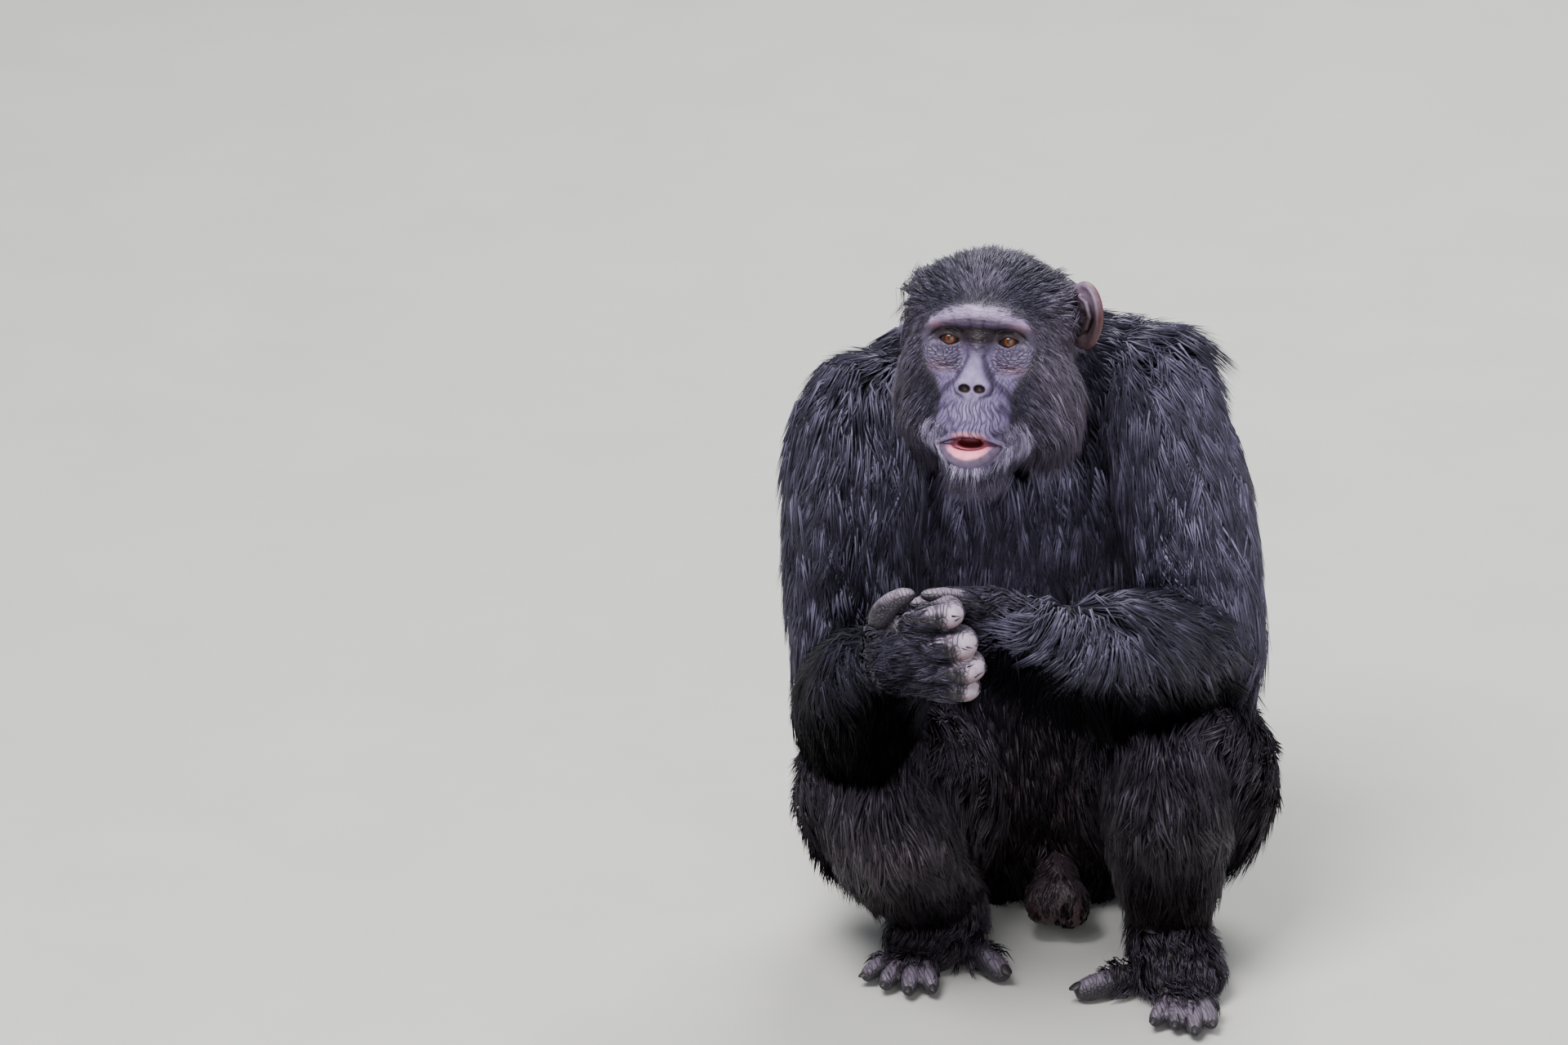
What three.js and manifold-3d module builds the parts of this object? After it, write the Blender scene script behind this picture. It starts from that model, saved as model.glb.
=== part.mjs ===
// A life-size adult male chimpanzee, sitting with its knees drawn up and its hands together.
// Millimetres, +Z up. The animal faces -Y and its left side is at +X.
// The origin is on the floor, under the middle of the body.
import * as THREE from 'three';
import { mergeVertices } from 'three/addons/utils/BufferGeometryUtils.js';
import Module from 'manifold-3d';

const wasm = await Module();
wasm.setup();

// The gap between neighbours, the core's share of the coat, and the step used to find a slope
const GAP = 0.34;
const CORE_SHARE = 0.5;
const NEAR = 0.01;

// The shares of a limb's length between which a lock's way keeps to the skin
const HELD = [0.03, 0.97];

// Places of the joints, read from the animal's pose
const SHOULDER = { left: [104, 12, 576], right: [-176, -18, 570] };
const ELBOW = { left: [158, -108, 330], right: [-186, -108, 278] };
const WRIST = { left: [-28, -288, 430], right: [-158, -335, 420] };
const HIP = { left: [124, 56, 118], right: [-110, 56, 118] };
const KNEE = { left: [112, -205, 276], right: [-162, -205, 236] };
const ANKLE = { left: [122, -130, 66], right: [-96, -68, 64] };
const HEEL = { left: [118, -88, 24], right: [-84, -20, 24] };
const BALL = { left: [140, -222, 20], right: [-122, -136, 20] };

// The head: the point midway between the eyes, its turn and its tilt
const EYE_POINT = [-67, -205, 694];
const HEAD_TURN = THREE.MathUtils.degToRad(-9);
const HEAD_TILT = THREE.MathUtils.degToRad(-12);
const EYE_SPACING = 57;
const EYE_RADIUS = 11.2;
const EYE_SET_BACK = 8.5;

const COLOUR = {
  coat: '#17151b',
  skin: '#6d6470',
  face: '#6f6472',
  ear: '#6a4a44',
  eye: '#7a3c14',
};

function material(colour, roughness) {
  return new THREE.MeshStandardMaterial({ color: colour, roughness, metalness: 0 });
}

// Small helpers for numbers

function mix(a, b, k) {
  return a + (b - a) * k;
}

function clamp(value, low, high) {
  return Math.min(Math.max(value, low), high);
}

// The value of an evenly spaced list at a share of its length, eased between its entries
function reach(list, share) {
  const place = clamp(share, 0, 1) * (list.length - 1);
  const i = Math.min(Math.floor(place), list.length - 2);
  const k = place - i;
  return mix(list[i], list[i + 1], k * k * (3 - 2 * k) * 0.5 + k * 0.5);
}

// Closed solids from geometries

function merged(geometry) {
  const bare = geometry.clone();
  bare.deleteAttribute('normal');
  bare.deleteAttribute('uv');
  return mergeVertices(bare, 1e-4);
}

function volumeOf(geometry) {
  const p = geometry.attributes.position;
  const index = geometry.index.array;
  const [a, b, c] = [new THREE.Vector3(), new THREE.Vector3(), new THREE.Vector3()];
  let sum = 0;
  for (let i = 0; i < index.length; i += 3) {
    a.fromBufferAttribute(p, index[i]);
    b.fromBufferAttribute(p, index[i + 1]);
    c.fromBufferAttribute(p, index[i + 2]);
    sum += a.dot(b.cross(c)) / 6;
  }
  return sum;
}

function faceOut(geometry) {
  if (volumeOf(geometry) < 0) {
    const index = geometry.index.array;
    for (let i = 0; i < index.length; i += 3) {
      [index[i + 1], index[i + 2]] = [index[i + 2], index[i + 1]];
    }
  }
  return geometry;
}

function toSolid(geometry) {
  const index = geometry.index.array;
  const kept = [];
  for (let i = 0; i < index.length; i += 3) {
    const [a, b, c] = [index[i], index[i + 1], index[i + 2]];
    if (a !== b && b !== c && c !== a) kept.push(a, b, c);
  }
  return new wasm.Manifold(new wasm.Mesh({
    numProp: 3,
    vertProperties: new Float32Array(geometry.attributes.position.array),
    triVerts: new Uint32Array(kept),
  }));
}

// The same geometry with every point moved outwards
function grown(geometry, by) {
  const copy = geometry.clone();
  copy.computeVertexNormals();
  const p = copy.attributes.position;
  const n = copy.attributes.normal;
  for (let i = 0; i < p.count; i += 1) {
    p.setXYZ(i, p.getX(i) + n.getX(i) * by, p.getY(i) + n.getY(i) * by, p.getZ(i) + n.getZ(i) * by);
  }
  copy.deleteAttribute('normal');
  return copy;
}

// A piece is its solid and a slightly larger shell that keeps its neighbours clear
function piece(geometry) {
  const closed = faceOut(merged(geometry));
  const solid = toSolid(closed);
  return { solid, shell: toSolid(grown(closed, GAP)).add(solid) };
}

function joined(pieces) {
  let { solid, shell } = pieces[0];
  for (const next of pieces.slice(1)) {
    solid = solid.add(next.solid);
    shell = shell.add(next.shell);
  }
  return { solid, shell };
}

function cutBy(target, tools) {
  let { solid, shell } = target;
  for (const tool of tools) {
    solid = solid.subtract(tool.solid);
    shell = shell.subtract(tool.solid);
  }
  return { solid, shell };
}

function largest(solid) {
  const bodies = solid.decompose();
  return bodies.reduce((best, body) => (body.volume() > best.volume() ? body : best));
}

function meets(a, b) {
  const [p, q] = [a.boundingBox(), b.boundingBox()];
  return [0, 1, 2].every((i) => p.min[i] < q.max[i] && q.min[i] < p.max[i]);
}

// Round forms

function blob(centre, radii, around = 12, rings = 8, turn = [0, 0, 0]) {
  const geometry = new THREE.SphereGeometry(1, around, rings);
  geometry.scale(...radii);
  geometry.rotateX(turn[0]);
  geometry.rotateY(turn[1]);
  geometry.rotateZ(turn[2]);
  geometry.translate(...centre);
  return geometry;
}

// A round-ended body along a line, with its own widths, depths and coat
function limb({ line, wide, deep = wide, coat = [0, 0], side = [1, 0, 0], blunt = [3, 3] }) {
  const curve = new THREE.CatmullRomCurve3(line.map((p) => new THREE.Vector3(...p)));
  const length = curve.getLength();
  const across = new THREE.Vector3(...side);

  function frame(s) {
    const inside = clamp(s, 0, 1);
    const centre = curve.getPoint(inside);
    const along = curve.getTangent(inside).normalize();
    centre.addScaledVector(along, (s - inside) * length);
    const x = across.clone().addScaledVector(along, -across.dot(along)).normalize();
    const y = along.clone().cross(x);
    return { centre, along, x, y };
  }

  function at(s, angle, lift, round = 1) {
    const { centre, x, y } = frame(s);
    centre.addScaledVector(x, Math.cos(angle) * (reach(wide, s) + lift) * round);
    return centre.addScaledVector(y, Math.sin(angle) * (reach(deep, s) + lift) * round);
  }

  function body(around, rings) {
    const geometry = new THREE.SphereGeometry(1, around, rings);
    const p = geometry.attributes.position;
    for (let i = 0; i < p.count; i += 1) {
      const polar = Math.acos(clamp(p.getY(i), -1, 1));
      const s = mix(polar / Math.PI, (1 - Math.cos(polar)) / 2, 0.65);
      const pole = polar < 1e-4 || polar > Math.PI - 1e-4;
      const angle = Math.atan2(p.getZ(i), p.getX(i));
      const q = at(s, angle, reach(coat, s) * CORE_SHARE, pole ? 0 : roundAt(s));
      p.setXYZ(i, q.x, q.y, q.z);
    }
    return geometry;
  }

  function roundAt(s) {
    const end = s < 0.5 ? blunt[0] : blunt[1];
    return (1 - Math.abs(2 * s - 1) ** end) ** (1 / end);
  }

  // The skin at a place along and round the limb; past the held shares it runs straight on
  function skin([s, angle], held = HELD) {
    const inside = clamp(s, held[0], held[1]);
    const point = at(inside, angle, 0, roundAt(inside));
    return point.addScaledVector(frame(inside).along, (s - inside) * length);
  }

  function surface(held) {
    return (coords) => {
      const point = skin(coords, held);
      const along = skin([coords[0] + NEAR, coords[1]], held).sub(point);
      const round = skin([coords[0], coords[1] + NEAR], held).sub(point);
      return { point, normal: along.cross(round).negate().normalize() };
    };
  }

  function depth(s) {
    return reach(coat, s);
  }

  return { at, body, surface, depth, length };
}

// The head's own frame: x to its left, -y out of the face, z up, from the point between the eyes
const headPlace = new THREE.Matrix4()
  .makeRotationZ(HEAD_TURN)
  .multiply(new THREE.Matrix4().makeRotationX(HEAD_TILT))
  .setPosition(...EYE_POINT);

function onHead(geometry) {
  return geometry.applyMatrix4(headPlace);
}

function headPoint(x, y, z) {
  return new THREE.Vector3(x, y, z).applyMatrix4(headPlace);
}

// Distance from an ellipsoid, and soft joins and cuts between such distances
function oval(p, c, r) {
  const [x, y, z] = [p.x - c[0], p.y - c[1], p.z - c[2]];
  const k0 = Math.hypot(x / r[0], y / r[1], z / r[2]);
  const k1 = Math.hypot(x / r[0] ** 2, y / r[1] ** 2, z / r[2] ** 2);
  return k1 < 1e-9 ? -Math.min(...r) : (k0 * (k0 - 1)) / k1;
}

function softJoin(a, b, k) {
  const h = Math.max(k - Math.abs(a - b), 0) / k;
  return Math.min(a, b) - h * h * k * 0.25;
}

function softCut(a, b, k) {
  return -softJoin(-a, b, k);
}

const SKULL = [
  { c: [0, 74, 10], r: [71, 80, 55], k: 1 },
  { c: [0, 42, -86], r: [48, 48, 38], k: 26 },
];
const PAIRED_FLESH = [
  { c: [40, 17, -20], r: [26, 25, 24], k: 20 },
  { c: [41, 48, -54], r: [28, 38, 44], k: 26 },
];
const MUZZLE = [
  { c: [0, 4, -56], r: [35, 42, 34], k: 20 },
  { c: [0, -13, -74], r: [37, 34, 18], k: 14 },
  { c: [0, -4, -101], r: [33, 37, 15], k: 9 },
  { c: [0, 9, -112], r: [30, 32, 17], k: 10 },
];
const SOCKET = { c: [28.5, -14, 1], r: [18, 17, 12], k: 8 };
const LID = { c: [EYE_SPACING / 2, EYE_SET_BACK + 0.6, 0], r: [14.2, 13.9, 13], k: 4 };
const POUCH = { c: [28, 0, -17], r: [13, 9, 6], k: 6 };
const BRIDGE = { c: [0, -2, -12], r: [9, 11, 24], k: 8 };
const BROW = [
  { c: [0, -5, 26], r: [24, 13, 9.5], k: 8 },
  { c: [26, -3, 25], r: [18, 14.5, 9.5], k: 8 },
  { c: [44, 6, 15.5], r: [13, 14, 10], k: 8 },
];
const NOSE = [
  { c: [0, -25, -32], r: [16, 14, 14], k: 9 },
  { c: [9.5, -30, -38], r: [10.5, 9.5, 8.5], k: 5 },
];

// Signed distance of the skin of the head
function headField(point) {
  const p = { x: Math.abs(point.x), y: point.y, z: point.z };
  const add = (d, part) => softJoin(d, oval(p, part.c, part.r), part.k);
  let d = oval(p, SKULL[0].c, SKULL[0].r);
  d = add(d, SKULL[1]);
  d = PAIRED_FLESH.reduce(add, d);
  d = MUZZLE.reduce(add, d);
  d = BROW.reduce(add, d);
  d = softCut(d, oval(p, SOCKET.c, SOCKET.r), SOCKET.k);
  d = add(d, BRIDGE);
  d = add(d, POUCH);
  d = add(d, LID);
  return NOSE.reduce(add, d);
}

// How far the head's rings and columns crowd towards the face
const HEAD_RING_CROWDING = 0.45;
const HEAD_RING_DROP = 0.24;
const FACE_CROWDING = 0.55;
const HEAD_MIDDLE = new THREE.Vector3(0, 42, -12);
const HEAD_REACH = 170;

// The point of the head's skin in a direction from its middle, found from outside inwards
function headSkin(direction) {
  let far = HEAD_REACH;
  const p = new THREE.Vector3();
  while (far > 5) {
    p.copy(HEAD_MIDDLE).addScaledVector(direction, far);
    const distance = headField(p);
    if (distance < 0.01) break;
    far -= clamp(distance * 0.6, 0.02, 4);
  }
  return p;
}

// A direction from the head's middle, by its turn from the face and its height in the head
function headDirection(turn, height) {
  const level = Math.cos(height);
  return new THREE.Vector3(Math.sin(turn) * level, -Math.cos(turn) * level, Math.sin(height));
}

// How far a value has come from one level to another, 0 to 1
function rise(value, from, to) {
  return clamp((value - from) / (to - from), 0, 1);
}

const CROWN_COAT = 16;
const WHISKER_COAT = 27;

// Depth of the head's coat: none on the face, full on the crown, cheeks and nape
function headCoat(p) {
  const outwards = Math.abs(p.x);
  const back = rise(p.y, -4, 26);
  const crown = rise(p.z, 34, 48) * rise(p.y, -10, 10);
  const temple = back * rise(outwards, 44, 62);
  const whisker = back * rise(outwards, 44, 60) * rise(-p.z, 10, 40);
  return Math.max(CROWN_COAT * Math.max(crown, temple), WHISKER_COAT * whisker);
}

function headBody(around, rings) {
  const geometry = new THREE.SphereGeometry(1, around, rings);
  const p = geometry.attributes.position;
  for (let i = 0; i < p.count; i += 1) {
    const level = 1 - (2 * Math.acos(clamp(p.getY(i), -1, 1))) / Math.PI;
    const even = (Math.PI / 2) * mix(level, level ** 3, HEAD_RING_CROWDING);
    const height = even - HEAD_RING_DROP * Math.cos(even);
    const spin = Math.atan2(p.getX(i), -p.getZ(i));
    const direction = headDirection(spin - FACE_CROWDING * Math.sin(spin), height);
    const skin = headSkin(direction);
    skin.addScaledVector(direction, headCoat(skin) * CORE_SHARE);
    p.setXYZ(i, skin.x, skin.y, skin.z);
  }
  return onHead(geometry);
}

// The mouth: the height and place of its corners, and half its width
const LIP_LINE = -94;
const LIP_CORNER = -31;
const LIP_HALF_WIDTH = 30;
const LIP_PARTS = 6;

// A lip runs from corner to corner, bowed forwards and up or down
function lip(drop, radius, forward) {
  const line = [];
  for (let i = 0; i <= LIP_PARTS; i += 1) {
    const k = (i / LIP_PARTS) * 2 - 1;
    const bow = 1 - k * k;
    line.push([k * LIP_HALF_WIDTH, LIP_CORNER - forward * bow, LIP_LINE + drop * bow]);
  }
  const wide = [radius * 0.5, radius, radius, radius, radius * 0.5];
  return onHead(limb({ line, wide, side: [0, 0, 1] }).body(7, 10));
}

const MOUTH = { centre: [0, -46, -91], radii: [17, 20, 5.6] };
const NOSTRIL = { centre: [7.2, -39.5, -40.5], radii: [5.3, 7, 4.2] };
const NOSTRIL_TURN = [0.5, 0.35];
const EYE_SLIT = { set: -4, radii: [10.4, 12, 6], turn: 0.1 };
const LID_HALF_WIDTH = 10.4;
const LID_STAND_OFF = 1.4;
const LID_SLANT = 1.2;
const LID_PARTS = 4;
const UPPER_LID_RISE = 6.7;
const LOWER_LID_DROP = -6.1;

function nostril(sign) {
  const [x, y, z] = NOSTRIL.centre;
  const [tip, spread] = NOSTRIL_TURN;
  return onHead(blob([sign * x, y, z], NOSTRIL.radii, 8, 5, [tip, sign * spread, 0]));
}

// One lid, lying on the eyeball from corner to corner
function lidArc(sign, lift) {
  const line = [];
  for (let i = 0; i <= LID_PARTS; i += 1) {
    const k = (i / LID_PARTS) * 2 - 1;
    const [x, z] = [k * LID_HALF_WIDTH, lift * (1 - k * k)];
    const out = Math.sqrt(Math.max(EYE_RADIUS ** 2 - x ** 2 - z ** 2, 1)) + LID_STAND_OFF;
    line.push([sign * EYE_SPACING / 2 + x, EYE_SET_BACK - out, z + sign * k * LID_SLANT]);
  }
  return onHead(limb({ line, wide: [1.2, 1.9, 2.1, 1.9, 1.2], side: [0, 0, 1] }).body(5, 6));
}

function eyeOpening(sign) {
  const centre = [sign * EYE_SPACING / 2, EYE_SLIT.set, 0];
  return onHead(blob(centre, EYE_SLIT.radii, 12, 6, [0, -sign * EYE_SLIT.turn, 0]));
}

function makeHead() {
  const flesh = joined([
    piece(headBody(30, 25)),
    piece(lip(12, 4.4, 20)),
    piece(lip(-11, 9.4, 22)),
  ]);
  const opened = cutBy(flesh, [
    piece(onHead(blob(MOUTH.centre, MOUTH.radii, 12, 6))),
    piece(nostril(1)),
    piece(nostril(-1)),
    piece(eyeOpening(1)),
    piece(eyeOpening(-1)),
  ]);
  return joined([
    opened,
    piece(lidArc(1, UPPER_LID_RISE)),
    piece(lidArc(1, LOWER_LID_DROP)),
    piece(lidArc(-1, UPPER_LID_RISE)),
    piece(lidArc(-1, LOWER_LID_DROP)),
  ]);
}

function makeEye(sign) {
  const centre = [sign * EYE_SPACING / 2, EYE_SET_BACK, 0];
  return piece(onHead(blob(centre, [EYE_RADIUS, EYE_RADIUS, EYE_RADIUS], 10, 6)));
}

// The cup of an ear: a flat oval, hollowed from the front, with its inner fold
const EAR = { left: [92, 70, 19], right: [-70, 76, 8] };
const EAR_OUT = { left: 0.62, right: 1.45 };
const EAR_SIZE = [23, 9, 33];

function makeEar(name, sign) {
  const open = sign * -EAR_OUT[name];
  const [width, thick, height] = EAR_SIZE;
  const turned = (geometry) => {
    geometry.rotateZ(open);
    geometry.translate(...EAR[name]);
    return onHead(geometry);
  };
  const shell = piece(turned(blob([0, 0, 0], [width, thick, height], 12, 7)));
  const root = piece(turned(blob([sign * -16, 3, -4], [13, 10, 19], 8, 5)));
  const cup = piece(turned(blob([sign * 1, -9, 2], [width - 5, 10.5, height - 6], 10, 6)));
  const fold = limb({
    line: [[sign * -8, -3, 20], [sign * 6, -4, 14], [sign * 9, -4, -2], [sign * 2, -3, -16]],
    wide: [2, 3, 3, 2],
    side: [0, 1, 0],
  });
  return joined([cutBy(joined([shell, root]), [cup]), piece(turned(fold.body(5, 6)))]);
}

// The coat: flat tapered locks that follow the skin from a sunk root to a free tip

const ROOT_SUNK = 7;
const LOCK_STEPS = [0, 0.36, 0.72];
const LOCK_WIDTHS = [0.66, 1, 0.74];
const LOCK_THICKNESS = 0.14;
const LIFT_CURVE = 0.5;
const BODY_CURVE = 130;
const HEAD_CURVE = 90;

let seed = 20;
function chance() {
  seed = (seed * 16807) % 2147483647;
  return seed / 2147483647;
}

function vary(share) {
  return 1 + (chance() * 2 - 1) * share;
}

// The skin's point and outward direction at a share of a lock's way, raised by a lift
function lockPlace({ surface, from, to, root, tip }, k) {
  const { point, normal } = surface(from.map((value, i) => mix(value, to[i], k)));
  return { place: point.addScaledVector(normal, mix(root, tip, k ** LIFT_CURVE)), out: normal };
}

function lockPoints(shape) {
  const points = [];
  LOCK_STEPS.forEach((k, i) => {
    const { place, out } = lockPlace(shape, k);
    const along = lockPlace(shape, k + 0.05).place.sub(place).normalize();
    const side = along.cross(out).normalize();
    const half = (shape.width / 2) * LOCK_WIDTHS[i];
    const edge = place.clone().addScaledVector(out, (-half * half) / (2 * shape.curve));
    points.push(edge.clone().addScaledVector(side, half));
    points.push(place.clone().addScaledVector(out, shape.width * LOCK_THICKNESS * LOCK_WIDTHS[i]));
    points.push(edge.clone().addScaledVector(side, -half));
  });
  points.push(lockPlace(shape, 1).place);
  return points;
}

// One closed lock: three-sided all the way, with a flat root and a pointed tip
function lock(shape) {
  const points = lockPoints({ curve: BODY_CURVE, ...shape });
  const faces = [0, 1, 2];
  for (let i = 0; i < LOCK_STEPS.length - 1; i += 1) {
    for (let j = 0; j < 3; j += 1) {
      const [a, b] = [i * 3 + j, i * 3 + ((j + 1) % 3)];
      faces.push(a, a + 3, b, b, a + 3, b + 3);
    }
  }
  const last = (LOCK_STEPS.length - 1) * 3;
  for (let j = 0; j < 3; j += 1) faces.push(last + j, points.length - 1, last + ((j + 1) % 3));
  const geometry = new THREE.BufferGeometry();
  const places = new Float32Array(points.flatMap((q) => [q.x, q.y, q.z]));
  geometry.setAttribute('position', new THREE.BufferAttribute(places, 3));
  geometry.setIndex(faces);
  return piece(geometry);
}

// A row of locks round a limb, evenly spread between two angles.
// The lie is the way along the limb: 1 towards its end and -1 towards its start.
function limbRow(body, { row, angles, count, long, wide, lie = 1, swirl = 0, rise = 0, held }) {
  const surface = body.surface(held);
  const locks = [];
  for (let i = 0; i < count; i += 1) {
    const angle = mix(angles[0], angles[1], (i + 0.5) / count) + (chance() - 0.5) * 0.12;
    const start = row + (chance() - 0.5) * 0.04;
    const end = start + (lie * long * vary(0.14)) / body.length;
    locks.push(lock({
      surface,
      from: [start, angle],
      to: [end, angle + swirl + (chance() - 0.5) * 0.16],
      width: wide * vary(0.12),
      root: body.depth(start) * CORE_SHARE - ROOT_SUNK,
      tip: (body.depth(end) + rise) * vary(0.1),
    }));
  }
  return locks;
}

// The trunk

const TRUNK_X = -32;

function makeNeckLimb() {
  return limb({
    line: [[TRUNK_X - 4, 16, 540], [-42, -40, 612], [-50, -92, 664]],
    wide: [80, 74, 64],
    deep: [70, 68, 60],
    coat: [22, 18, 10],
  });
}

// The trunk from the seat to the root of the neck, modelled whole and parted at the waist
const trunkLimb = limb({
  line: [
    [4, 76, 6], [2, 80, 80], [-6, 84, 170], [-18, 82, 270],
    [-28, 74, 370], [-34, 54, 460], [-36, 20, 540], [-38, -14, 600],
  ],
  wide: [92, 124, 128, 128, 138, 146, 126, 90],
  deep: [64, 88, 100, 102, 106, 102, 88, 68],
  coat: [12, 16, 18, 18, 20, 22, 24, 22],
  blunt: [3.4, 2.6],
});
const yokeLimb = limb({
  line: [[-168, -2, 554], [-100, 16, 560], [TRUNK_X - 4, 28, 562], [34, 24, 562], [98, 16, 572]],
  wide: [52, 62, 66, 62, 52],
  coat: [22, 24, 24, 24, 22],
  side: [0, 1, 0],
});
const WAIST = 262;

function waistBlock(above) {
  const block = new THREE.BoxGeometry(800, 800, 500);
  block.translate(0, 0, WAIST + (above ? 250 : -250));
  return piece(block);
}

function makeChest() {
  const whole = joined([piece(trunkLimb.body(14, 13)), piece(yokeLimb.body(10, 9))]);
  return cutBy(whole, [{ solid: waistBlock(false).shell }]);
}

function makeBelly() {
  const whole = joined([
    piece(trunkLimb.body(14, 13)),
    piece(blob([46, 78, 24], [40, 44, 30], 8, 5)),
    piece(blob([-42, 78, 24], [40, 44, 30], 8, 5)),
  ]);
  return cutBy(whole, [waistBlock(true)]);
}

function makeScrotum() {
  return joined([
    piece(blob([28, -44, 40], [20, 22, 26], 8, 6)),
    piece(blob([2, -42, 42], [19, 22, 25], 8, 6)),
    piece(blob([15, -16, 54], [22, 32, 24], 8, 5)),
  ]);
}

// The arms

function between(a, b, k, shift = [0, 0, 0]) {
  return a.map((value, i) => mix(value, b[i], k) + shift[i]);
}

const FOREARM_SAG = [0, -4, -6];

function armSet(name, bow) {
  const [shoulder, elbow, wrist] = [SHOULDER[name], ELBOW[name], WRIST[name]];
  const upper = limb({
    line: [
      between(shoulder, elbow, -0.08),
      between(shoulder, elbow, 0.5, bow),
      between(shoulder, elbow, 1.12),
    ],
    wide: [58, 60, 54, 47, 42],
    coat: [22, 22, 20, 20, 18],
    blunt: [3, 4],
  });
  const lower = limb({
    line: [
      between(elbow, wrist, -0.08),
      between(elbow, wrist, 0.5, FOREARM_SAG),
      between(elbow, wrist, 1.1),
    ],
    wide: [38, 46, 43, 36, 27],
    coat: [18, 22, 26, 26, 10],
    side: [0, 0, 1],
    blunt: [4, 2.6],
  });
  return { upper, lower };
}

const arm = { left: armSet('left', [8, 4, 0]), right: armSet('right', [-6, 4, 0]) };

// A finger through its joints, thick at the knuckle pads
function digit(line, radius, around = 6, rings = 6) {
  const wide = [radius, radius * 1.08, radius, radius * 0.82];
  return piece(limb({ line, wide, side: [0, 0, 1], blunt: [2.6, 2.6] }).body(around, rings));
}

function makeRightHand() {
  const knuckles = [[-96, -378, 482], [-84, -380, 452], [-76, -378, 427], [-78, -372, 403]];
  const radii = [12, 13, 12.4, 10];
  const palm = limb({
    line: [between(WRIST.right, ELBOW.right, 0.06), [-138, -364, 438], [-104, -380, 443]],
    wide: [28, 38, 40],
    deep: [24, 21, 19],
    coat: [8, 4, 0],
    side: [0, 0, 1],
  });
  const fingers = knuckles.map(([x, y, z], i) => digit([
    [x - 46, y + 2, z - 3],
    [x - 18, y - 6, z + 1],
    [x, y, z],
    [x + 1, y + 22, z - 1],
    [x - 16, y + 36, z - 2],
    [x - 38, y + 30, z - 1],
  ], radii[i], 6, 9));
  const thumb = digit([[-158, -344, 440], [-162, -362, 472], [-148, -370, 494], [-128, -372, 503]], 11);
  return joined([piece(palm.body(9, 6)), ...fingers, thumb]);
}

function makeLeftHand() {
  const tips = [[-132, -326, 470], [-134, -320, 450], [-128, -312, 432], [-116, -306, 416]];
  const palm = limb({
    line: [between(WRIST.left, ELBOW.left, 0.08), [-62, -304, 442], [-98, -314, 448]],
    wide: [27, 35, 36],
    deep: [22, 18, 16],
    coat: [8, 4, 0],
    side: [0, 0, 1],
  });
  const fingers = tips.map(([x, y, z], i) => digit([
    [-78, -308, 472 - i * 17],
    [-98, -318, 474 - i * 17],
    [x + 12, y, z],
    [x, y + 6, z],
  ], 10.5 - i * 0.7));
  const thumb = digit([[-60, -318, 462], [-86, -340, 486], [-108, -346, 490], [-124, -346, 490]], 7.5);
  return joined([piece(palm.body(9, 6)), ...fingers, thumb]);
}

// The legs

const KNEECAP = [0, -6, 0];

function legSet(name, bow, calf) {
  const [hip, knee, ankle] = [HIP[name], KNEE[name], ANKLE[name]];
  const upper = limb({
    line: [hip, between(hip, knee, 0.5, bow), knee],
    wide: [92, 88, 78, 68, 58],
    coat: [32, 32, 28, 22, 18],
    blunt: [3.4, 2.6],
  });
  const lower = limb({
    line: [
      between(knee, ankle, -0.02, KNEECAP),
      between(knee, ankle, 0.4, calf),
      between(knee, ankle, 1.1),
    ],
    wide: [40, 51, 50, 40, 30],
    coat: [16, 20, 22, 22, 20],
    blunt: [2.6, 3.4],
  });
  return { upper, lower };
}

const leg = {
  left: legSet('left', [12, 0, -4], [3, 2, 0]),
  right: legSet('right', [-10, 0, -4], [-8, -12, -6]),
};

const TOE_TIPS = {
  left: [[104, -278], [125, -286], [144, -300], [162, -284]],
  right: [[-108, -200], [-132, -204], [-156, -190], [-176, -168]],
};
const BIG_TOE_TIP = { left: [30, -208], right: [-36, -168] };
const INSTEP_HEIGHT = 46;
const TOE_HEIGHT = 19;
const TOE_TIP_HEIGHT = 10;
const TOE_RADIUS = 9.6;
const TOE_TAPER = 0.4;
const BIG_TOE_RADIUS = 13;

function makeFoot(name, sign) {
  const [heel, ball, ankle] = [HEEL[name], BALL[name], ANKLE[name]];
  const sole = limb({
    line: [heel, between(heel, ball, 0.5, [0, 0, 4]), ball],
    wide: [26, 31, 35, 40, 41],
    deep: [27, 28, 27, 24, 20],
    side: [1, 0, 0],
    blunt: [2.6, 2.6],
  });
  const instep = limb({
    line: [
      [ankle[0], ankle[1] + 4, ankle[2] + 14],
      [ankle[0], ankle[1] - 10, INSTEP_HEIGHT],
      between(ankle, ball, 0.75, [0, 0, -14]),
    ],
    wide: [30, 33, 32],
    coat: [18, 18, 8],
  });
  const toes = TOE_TIPS[name].map(([x, y], i) => {
    const root = [mix(ball[0], x, 0.35), mix(ball[1], y, 0.15) + 12, TOE_HEIGHT];
    const bend = [mix(root[0], x, 0.55), mix(root[1], y, 0.5), TOE_HEIGHT];
    const radius = TOE_RADIUS - Math.abs(i - 1.5) * TOE_TAPER;
    return digit([root, bend, [x, y + 8, TOE_TIP_HEIGHT]], radius, 6, 5);
  });
  const [bigX, bigY] = BIG_TOE_TIP[name];
  const bigRoot = between(heel, ball, 0.55, [sign * -8, 0, 0]);
  const bigBend = [mix(bigRoot[0], bigX, 0.55), mix(bigRoot[1], bigY, 0.4), TOE_HEIGHT - 1];
  const bigToe = digit([bigRoot, bigBend, [bigX, bigY + 8, BIG_TOE_RADIUS]], BIG_TOE_RADIUS, 7, 6);
  return joined([piece(sole.body(10, 7)), piece(instep.body(9, 5)), ...toes, bigToe]);
}

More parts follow.
